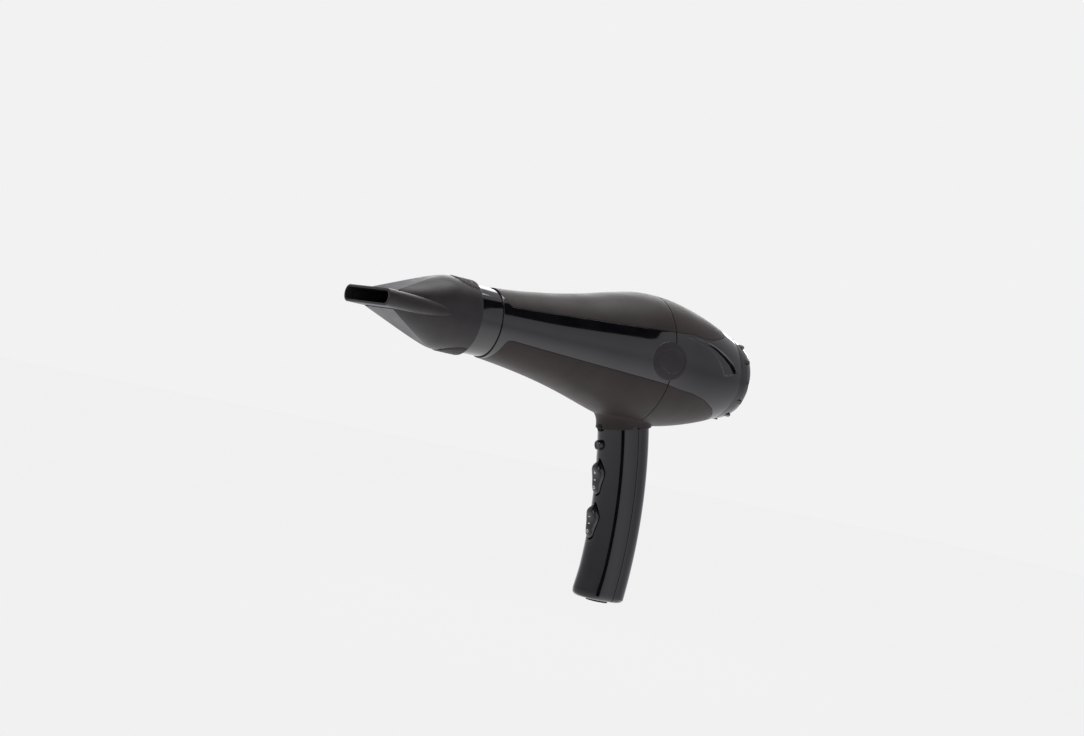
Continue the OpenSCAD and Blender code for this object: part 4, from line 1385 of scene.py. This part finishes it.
# %% The nozzle's pads
PAD_X0 = node_box("nozzle_grip_upper")[0][0]
PAD_X1 = node_box("nozzle_grip_upper")[1][0]
PAD_HALF = math.radians(37)
RIB_PITCH = 1.9
RIB_HEIGHT = 0.5


def pad_reach(x):
    """Half angle of the pad at a place: it narrows to a blunt point towards the slot."""
    return PAD_HALF * math.sqrt(max(0.05, 1 - ((PAD_X1 - x) / (PAD_X1 - PAD_X0 + 0.8)) ** 2))


def pad(name, up):
    """A thin plate on the collar whose face is rippled into ribs."""
    rows = []
    for x in np.linspace(PAD_X0, PAD_X1, 97):
        reach = pad_reach(x)
        ripple = RIB_HEIGHT * abs(math.sin(math.pi * (x - PAD_X0) / RIB_PITCH))
        row = []
        for turn in np.linspace(-reach, reach, 25):
            edge = ease((reach - abs(turn)) * COLLAR_R / 0.9)
            r = COLLAR_R + 0.12 + ripple * edge
            row.append((x, up * r * math.sin(turn), up * r * math.cos(turn)))
        rows.append(row)
    obj = thicken(grid_object(name, rows, FINISHES["soft_touch"]), -0.5, 0.0)
    return smooth(tidy_outward(obj), 50)


for node, up in (("nozzle_grip_upper", 1), ("nozzle_grip_lower", -1)):
    place(pad(node + "_pad", up), "nozzle", "soft_touch", node)

# %% [markdown]
# ## The filter cap
# The cap is a turned ring that rounds over to the back. Its openings are closed by thin rings and
# radial slats, so fingers and hair stay out while air gets in. Small lugs round its edge give
# a grip for the short twist that frees it. Slats and lugs are instances set round the axis.

# %% The cap's rings
CAP_X0 = BODY_LEN + 0.1
CAP_BACK = node_box("filter_cap")[1][0]
DOME = [
    (CAP_X0 + 3, CAP_R - 0.9), (CAP_X0 + 8, CAP_R - 2.4), (CAP_X0 + 12.5, CAP_R - 5),
    (CAP_X0 + 15.6, CAP_R - 9), (CAP_X0 + 17.6, CAP_R - 15), (CAP_X0 + 18.7, CAP_R - 22), (CAP_BACK, 0.0),
]


def dome_x(r):
    """Place of the cap's outer surface at a radius."""
    pairs = sorted((radius, x) for x, radius in DOME)
    return float(np.interp(r, *zip(*pairs)))


def cap_ring(r_out, r_in):
    """One of the thin rings, following the dome."""
    steps = 4
    radii = [r_out + (r_in - r_out) * k / steps for k in range(steps + 1)]
    outer = [(dome_x(r) - 0.05, r) for r in radii]
    inner = [(x - 1.5, r) for x, r in reversed(outer)]
    ring = turned("ring", outer + inner, FINISHES["gloss_black"], 72)
    round_edges(ring, 0.3, segments=2)
    return settle(ring)


def cap_shell():
    """The cap's closed outer ring, with a softened front edge and its inner wall."""
    outer = [(CAP_X0, CAP_R - 0.75), (CAP_X0 + 0.15, CAP_R - 0.4), (CAP_X0 + 0.6, CAP_R - 0.25)]
    outer += [(dome_x(r), r) for r in np.linspace(CAP_R - 0.9, 20.6, 14)]
    rim = [(dome_x(20.2) - 0.5, 20.2), (dome_x(20.2) - 1.6, 20.2)]
    inner = [(x - 2.0, r - 0.6) for x, r in ((dome_x(21.5), 22), (dome_x(24), 24.6), (dome_x(27), 27.2))]
    inner += [(CAP_X0 + 6.5, CAP_R - 3.3), (CAP_X0, CAP_R - 3.3)]
    return turned("cap_shell", outer + rim + inner, FINISHES["gloss_black"], 120)


print("the cap is", round(CAP_BACK - CAP_X0, 1), "mm deep")

# %% [markdown]
# Twelve slats and twelve lugs stand evenly round the axis. A tree makes one, sets copies on points in
# one place and turns each by its share of a full turn, so their number is a single input.

# %% Slats and lugs round the axis
def around_tree(name, sizes, material, shape):
    """A tree that sets copies of a shape round the X axis."""
    tree, given = new_tree(name, sizes)
    piece = shape(tree, given)
    spots = add_node(
        tree, "GeometryNodeMeshLine",
        links=[("Count", given.outputs["Count"])], values=[("Offset", (0.0, 0.0, 0.0))],
    )
    number = add_node(tree, "GeometryNodeInputIndex")
    share = add_node(
        tree, "ShaderNodeMath", operation="DIVIDE",
        links=[(0, number.outputs[0]), (1, given.outputs["Count"])],
    )
    angle = add_node(
        tree, "ShaderNodeMath", operation="MULTIPLY",
        links=[(0, share.outputs[0])], values=[(1, 2 * math.pi)],
    )
    turn = add_node(tree, "ShaderNodeCombineXYZ", links=[("X", angle.outputs[0])])
    euler = add_node(tree, "FunctionNodeEulerToRotation", links=[(0, turn.outputs[0])])
    copies = add_node(
        tree, "GeometryNodeInstanceOnPoints",
        links=[("Points", spots.outputs[0]), ("Instance", piece), ("Rotation", euler.outputs[0])],
    )
    finish_tree(tree, copies.outputs[0], material)
    return tree


def slat_shape(tree, given):
    """A slat: a flat strip bent over the dome along an arc of three points."""
    bend = add_node(
        tree, "GeometryNodeCurveQuadraticBezier",
        values=[
            ("Resolution", 12),
            ("Start", ((CAP_BACK - 1.0) * MM, 0.0, 2.0 * MM)),
            ("Middle", ((CAP_BACK - 1.1) * MM, 0.0, 13.0 * MM)),
            ("End", ((dome_x(21.0) - 0.9) * MM, 0.0, 21.2 * MM)),
        ],
    )
    section = add_node(
        tree, "GeometryNodeCurvePrimitiveQuadrilateral",
        links=[("Width", given.outputs["Thick"]), ("Height", given.outputs["Wide"])],
    )
    strip = add_node(
        tree, "GeometryNodeCurveToMesh",
        links=[("Curve", bend.outputs[0]), ("Profile Curve", section.outputs[0])],
        values=[("Fill Caps", True)],
    )
    return strip.outputs[0]


def lug_shape(tree, given):
    """A lug: a short block, flush with the cap in front and standing proud behind."""
    size = add_node(
        tree, "ShaderNodeCombineXYZ",
        links=[("X", given.outputs["Long"]), ("Y", given.outputs["Wide"])], values=[("Z", 2.6 * MM)],
    )
    block = add_node(tree, "GeometryNodeMeshCube", links=[("Size", size.outputs[0])])
    laid = add_node(
        tree, "GeometryNodeTransform", links=[("Geometry", block.outputs[0])],
        values=[("Translation", ((CAP_X0 + 6.9) * MM, 0.0, (CAP_R - 2.6) * MM))],
    )
    return laid.outputs[0]


SLAT_SIZES = {"Count": 12, "Thick": 1.3 * MM, "Wide": 1.3 * MM}
LUG_SIZES = {"Count": 12, "Wide": 2.4 * MM, "Long": 5.0 * MM}
GLOSS = FINISHES["gloss_black"]
slats = grow("slats", around_tree("cap_slats", SLAT_SIZES, GLOSS, slat_shape), SLAT_SIZES, GLOSS)
lugs = grow("lugs", around_tree("cap_lugs", LUG_SIZES, GLOSS, lug_shape), LUG_SIZES, GLOSS)
rings = [cap_ring(15.6, 14.2), cap_ring(9.6, 8.2), cap_ring(3.2, 0.6)]
cap = smooth(join("filter_cap_shell", cap_shell(), *rings, slats, lugs), 35)
place(cap, "filter", "gloss_black", "filter_cap")

# %% [markdown]
# Behind the slats lies a fine steel mesh that catches lint. The real wires are 0.2 mm thick on a
# pitch of about 0.8 mm; they are drawn 0.34 mm thick on a pitch of 1.6 mm, so that the weave shows.
# Each wire is one instance of a rod, stretched to the length of its chord.

# %% The filter's mesh
SCREEN_X = (node_box("filter_screen")[0][0] + node_box("filter_screen")[1][0]) / 2
SCREEN_R = node_box("filter_screen")[1][1]


def wire_tree(sizes, material):
    """Rods along Y in a row along Z, each as long as the circle is wide there."""
    tree, given = new_tree("mesh_wires", sizes)
    rod = add_node(
        tree, "GeometryNodeMeshCylinder",
        links=[("Radius", given.outputs["Wire Radius"])], values=[("Vertices", 6), ("Depth", 2.0)],
    )
    along_y = add_node(
        tree, "GeometryNodeTransform", links=[("Geometry", rod.outputs[0])],
        values=[("Rotation", (math.pi / 2, 0.0, 0.0))],
    )
    step = add_node(tree, "ShaderNodeCombineXYZ", links=[("Z", given.outputs["Pitch"])])
    spare = add_node(
        tree, "ShaderNodeMath", operation="SUBTRACT",
        links=[(0, given.outputs["Wires"])], values=[(1, 1.0)],
    )
    span = add_node(
        tree, "ShaderNodeMath", operation="MULTIPLY",
        links=[(0, spare.outputs[0]), (1, given.outputs["Pitch"])],
    )
    low = add_node(
        tree, "ShaderNodeMath", operation="MULTIPLY", links=[(0, span.outputs[0])], values=[(1, -0.5)]
    )
    first = add_node(
        tree, "ShaderNodeCombineXYZ", links=[("X", given.outputs["Place"]), ("Z", low.outputs[0])]
    )
    line = add_node(
        tree, "GeometryNodeMeshLine",
        links=[
            ("Count", given.outputs["Wires"]), ("Start Location", first.outputs[0]),
            ("Offset", step.outputs[0]),
        ],
    )
    spot = add_node(tree, "GeometryNodeInputPosition")
    apart = add_node(tree, "ShaderNodeSeparateXYZ", links=[("Vector", spot.outputs[0])])
    # half a chord: the root of the circle's radius squared less the height squared
    r2 = add_node(
        tree, "ShaderNodeMath", operation="MULTIPLY",
        links=[(0, given.outputs["Radius"]), (1, given.outputs["Radius"])],
    )
    z2 = add_node(
        tree, "ShaderNodeMath", operation="MULTIPLY",
        links=[(0, apart.outputs["Z"]), (1, apart.outputs["Z"])],
    )
    rest = add_node(
        tree, "ShaderNodeMath", operation="SUBTRACT", links=[(0, r2.outputs[0]), (1, z2.outputs[0])]
    )
    half = add_node(tree, "ShaderNodeMath", operation="SQRT", links=[(0, rest.outputs[0])])
    stretch = add_node(
        tree, "ShaderNodeCombineXYZ", links=[("Y", half.outputs[0])], values=[("X", 1.0), ("Z", 1.0)]
    )
    wires = add_node(
        tree, "GeometryNodeInstanceOnPoints",
        links=[("Points", line.outputs[0]), ("Instance", along_y.outputs[0]), ("Scale", stretch.outputs[0])],
    )
    finish_tree(tree, wires.outputs[0], material)
    return tree


WIRE_SIZES = {
    "Wires": 31,
    "Pitch": 1.6 * MM,
    "Radius": (SCREEN_R - 1.8) * MM,
    "Wire Radius": 0.17 * MM,
    "Place": SCREEN_X * MM,
}
wires = wire_tree(WIRE_SIZES, FINISHES["steel"])
weft = grow("weft", wires, WIRE_SIZES, FINISHES["steel"])
warp = grow("warp", wires, {**WIRE_SIZES, "Place": (SCREEN_X - 0.3) * MM}, FINISHES["steel"])
for vertex in warp.data.vertices:
    x, y, z = vertex.co
    vertex.co = (x, -z, y)
rim = turned(
    "rim",
    [
        (SCREEN_X - 0.6, SCREEN_R), (SCREEN_X + 0.6, SCREEN_R),
        (SCREEN_X + 0.7, SCREEN_R - 2.2), (SCREEN_X - 0.7, SCREEN_R - 2.2),
    ],
    FINISHES["steel"], 72,
)
screen = smooth(join("filter_mesh", rim, weft, warp), 40)
place(screen, "filter", "steel", "filter_screen")

# %% [markdown]
# ## Finishes on the CAD parts
# The parts inside keep their CAD shape, which is exact. Each takes the finish of its slot in the
# record, so a repaint there reaches it too. Only the screws that show in the grip and the neck differ:
# they are coloured dark, as painted shade for the recesses that they sit in.

# %% Paint the CAD nodes
# Painted shade: the screw heads are coloured dark to stand for the shade of the recesses they sit in, so
# that no bright spot shows in the gloss grip.
SCREW_PAINTED_SHADE = metal("steel_dark_painted_shade", "#17181a", "#242528", 0.35, 0.5, 0.4, 0.01)
slot_of = {part["node"]: part["material_slot"] for part in frame["record"]["subparts"]}
painted = 0
for name, obj in nodes.items():
    # the screws in the neck and the grip take the dark finish that is painted shade for their recesses
    finish = SCREW_PAINTED_SHADE if name in ("neck_screw", "handle_screws") else FINISHES[slot_of[name]]
    obj.data.materials.clear()
    obj.data.materials.append(finish)
    painted += 1
print(painted, "CAD nodes painted")

# %% [markdown]
# ## The studio
# Glossy black shows almost nothing but its surroundings, so the room round it is built first: a pale
# table and backdrop. Two dark cards stand where the barrel and the grip mirror them: they draw the long
# dark lines that make a gloss surface read as gloss. The cards can't be seen by the camera.

# %% Floor and cards
BACKDROP = "#f2f2f2"


def stage_plane(name, corners_m, hex_value, glow):
    """A flat stage piece from its corners. The glow is the light that a lit studio table gives back."""
    corners_mm = [[value / MM for value in corner] for corner in corners_m]
    obj = mesh_object(name, corners_mm, [tuple(range(len(corners_mm)))], INK)
    material, tree, shader = new_finish(name + "_surface")
    mottled(tree, shader, hex_value, hex_value, 80)
    shader.inputs["Roughness"].default_value = 1.0
    shader.inputs["Specular IOR Level"].default_value = 0.0
    shader.inputs["Emission Color"].default_value = linear(BACKDROP)
    shader.inputs["Emission Strength"].default_value = glow
    obj.data.materials.clear()
    obj.data.materials.append(material)
    return obj


FLOOR_Z = cad_box[0][2] - 0.16
FLOOR_HALF = 9
floor_corners = [(FLOOR_HALF * a, FLOOR_HALF * b, FLOOR_Z) for a, b in ((-1, -1), (1, -1), (1, 1), (-1, 1))]
floor = stage_plane("floor", floor_corners, "#161616", 0.98)
floor.visible_glossy = False

BARREL_MIDDLE = Vector((SEAM_X * 0.5 * MM, 0, 0))
GRIP_MIDDLE = Vector((handle_x(-110) * MM, 0, -110 * MM))


def dark_card(name, start, distance, directions):
    """A card whose corners lie in given directions from a place on the object."""
    corners = [tuple(start + Vector(d).normalized() * distance) for d in directions]
    card = stage_plane(name, corners, "#050505", 0.0)
    card.visible_camera = False
    card.visible_shadow = False
    return card


dark_card(
    "barrel_card", BARREL_MIDDLE, 1.6,
    [
        (0.0, -0.82, 0.57), (0.22, -0.81, 0.545), (0.32, -0.75, 0.58), (0.37, -0.62, 0.69),
        (0.52, -0.25, 0.80), (0.5, -0.05, 0.84), (0.2, -0.3, 0.9), (0.0, -0.55, 0.83),
    ],
)
dark_card(
    "grip_card", GRIP_MIDDLE, 1.5,
    [
        (-0.38, -0.92, -0.5), (-0.1, -0.99, -0.5), (-0.1, -0.99, 0.0), (-0.42, -0.9, 0.1),
        (-0.72, -0.68, 0.2), (-0.82, -0.55, 0.18), (-0.62, -0.78, 0.05), (-0.38, -0.92, -0.02),
    ],
)
print("floor and two dark cards")

# %% [markdown]
# Three softboxes light the object: one overhead, one in front on the left and one behind. The rest of
# the light is the world. The camera sees it as the plain backdrop, and everything else sees a graded
# room, because a flat white one would leave the gloss without any shape.

# %% Lights
world = bpy.data.worlds.new("studio")
bpy.context.scene.world = world
world.use_nodes = True
sky = world.node_tree
sky.nodes.clear()
seen = add_node(sky, "ShaderNodeBackground", values=[("Color", linear(BACKDROP)), ("Strength", 1.0)])
# What the gloss mirrors: a bright table below, a plain wall at eye level, a dimmer ceiling.
ROOM_STOPS = ((0.05, "#ffffff"), (0.3, "#e3e3e7"), (0.5, "#b1b0b7"), (0.62, "#b9b7bc"), (0.76, "#acaaad"))
ROOM = 1.58
ROOM_ENDS = 0.58
where = add_node(sky, "ShaderNodeTexCoord")
split = add_node(sky, "ShaderNodeSeparateXYZ", links=[("Vector", where.outputs["Generated"])])
rise = add_node(
    sky, "ShaderNodeMapRange",
    links=[("Value", split.outputs["Z"])], values=[("From Min", -1.0), ("From Max", 1.0)],
)
grade = add_node(sky, "ShaderNodeValToRGB", links=[("Fac", rise.outputs["Result"])])
while len(grade.color_ramp.elements) < len(ROOM_STOPS):
    grade.color_ramp.elements.new(0.5)
for stop, (position, shade) in zip(grade.color_ramp.elements, ROOM_STOPS):
    stop.position = position
    stop.color = linear(shade)
# The wall is lit in the middle and dims towards both ends of the room.
away = add_node(
    sky, "ShaderNodeMath", operation="SUBTRACT", links=[(0, split.outputs["X"])], values=[(1, 0.3)]
)
far = add_node(sky, "ShaderNodeMath", operation="ABSOLUTE", links=[(0, away.outputs[0])])
dim = add_node(
    sky, "ShaderNodeMapRange", links=[("Value", far.outputs[0])],
    values=[("From Min", 0.15), ("From Max", 0.7), ("To Min", ROOM), ("To Max", ROOM * ROOM_ENDS)],
    interpolation_type="SMOOTHSTEP",
)
room = add_node(
    sky, "ShaderNodeBackground",
    links=[("Color", grade.outputs["Color"]), ("Strength", dim.outputs["Result"])],
)
ray = add_node(sky, "ShaderNodeLightPath")
pick = add_node(
    sky, "ShaderNodeMixShader",
    links=[("Fac", ray.outputs["Is Camera Ray"]), (1, room.outputs[0]), (2, seen.outputs[0])],
)
add_node(sky, "ShaderNodeOutputWorld", links=[("Surface", pick.outputs[0])])


def softbox(name, position, target, width, height, power):
    """A large area light that faces a place."""
    data = bpy.data.lights.new(name, "AREA")
    data.shape = "RECTANGLE"
    data.size = width
    data.size_y = height
    data.energy = power
    obj = bpy.data.objects.new(name, data)
    obj.location = position
    obj.rotation_euler = (Vector(target) - Vector(position)).to_track_quat("-Z", "Y").to_euler()
    bpy.context.scene.collection.objects.link(obj)


centre = ((cad_box[0][0] + cad_box[1][0]) / 2, 0, -0.03)
softbox("overhead", (centre[0] - 0.1, 0.1, 1.5), centre, 1.3, 0.9, 15)
softbox("front_left", (-1.3, -0.9, 0.7), centre, 0.7, 1.2, 5)
softbox("back", (0.9, 1.2, 0.6), centre, 0.9, 1.2, 10)
print("studio lit")

# %% [markdown]
# ## The camera
# The camera looks at the dryer from the left front, level with the grip, and is rolled so that the
# barrel slopes down to the right. It is set by its place and three axes, which is exact where a target
# and a roll would be fiddly. Its lens is fairly long, which keeps the barrel's taper honest.

# %% Camera
CAMERA_AT = Vector((-0.5628, -1.0977, -0.0543))
RIGHT = Vector((0.8403, -0.5012, 0.2066)).normalized()
FORWARD = Vector((0.5074, 0.8613, 0.0262)).normalized()
UP = RIGHT.cross(FORWARD).normalized()
lens = bpy.data.cameras.new("camera")
lens.sensor_width = 36.0
lens.lens = 62.6
lens.clip_start = 0.05
lens.clip_end = 50
camera = bpy.data.objects.new("camera", lens)
side = FORWARD.cross(UP)
camera.matrix_world = Matrix((
    (side.x, UP.x, -FORWARD.x, CAMERA_AT.x),
    (side.y, UP.y, -FORWARD.y, CAMERA_AT.y),
    (side.z, UP.z, -FORWARD.z, CAMERA_AT.z),
    (0, 0, 0, 1),
))
bpy.context.scene.collection.objects.link(camera)
bpy.context.scene.camera = camera
bpy.context.scene.view_settings.view_transform = "Standard"
print("camera at", [round(v, 3) for v in CAMERA_AT])

# %% Sizes and the end
print("cad box   ", [[round(v, 4) for v in c] for c in cad_box])
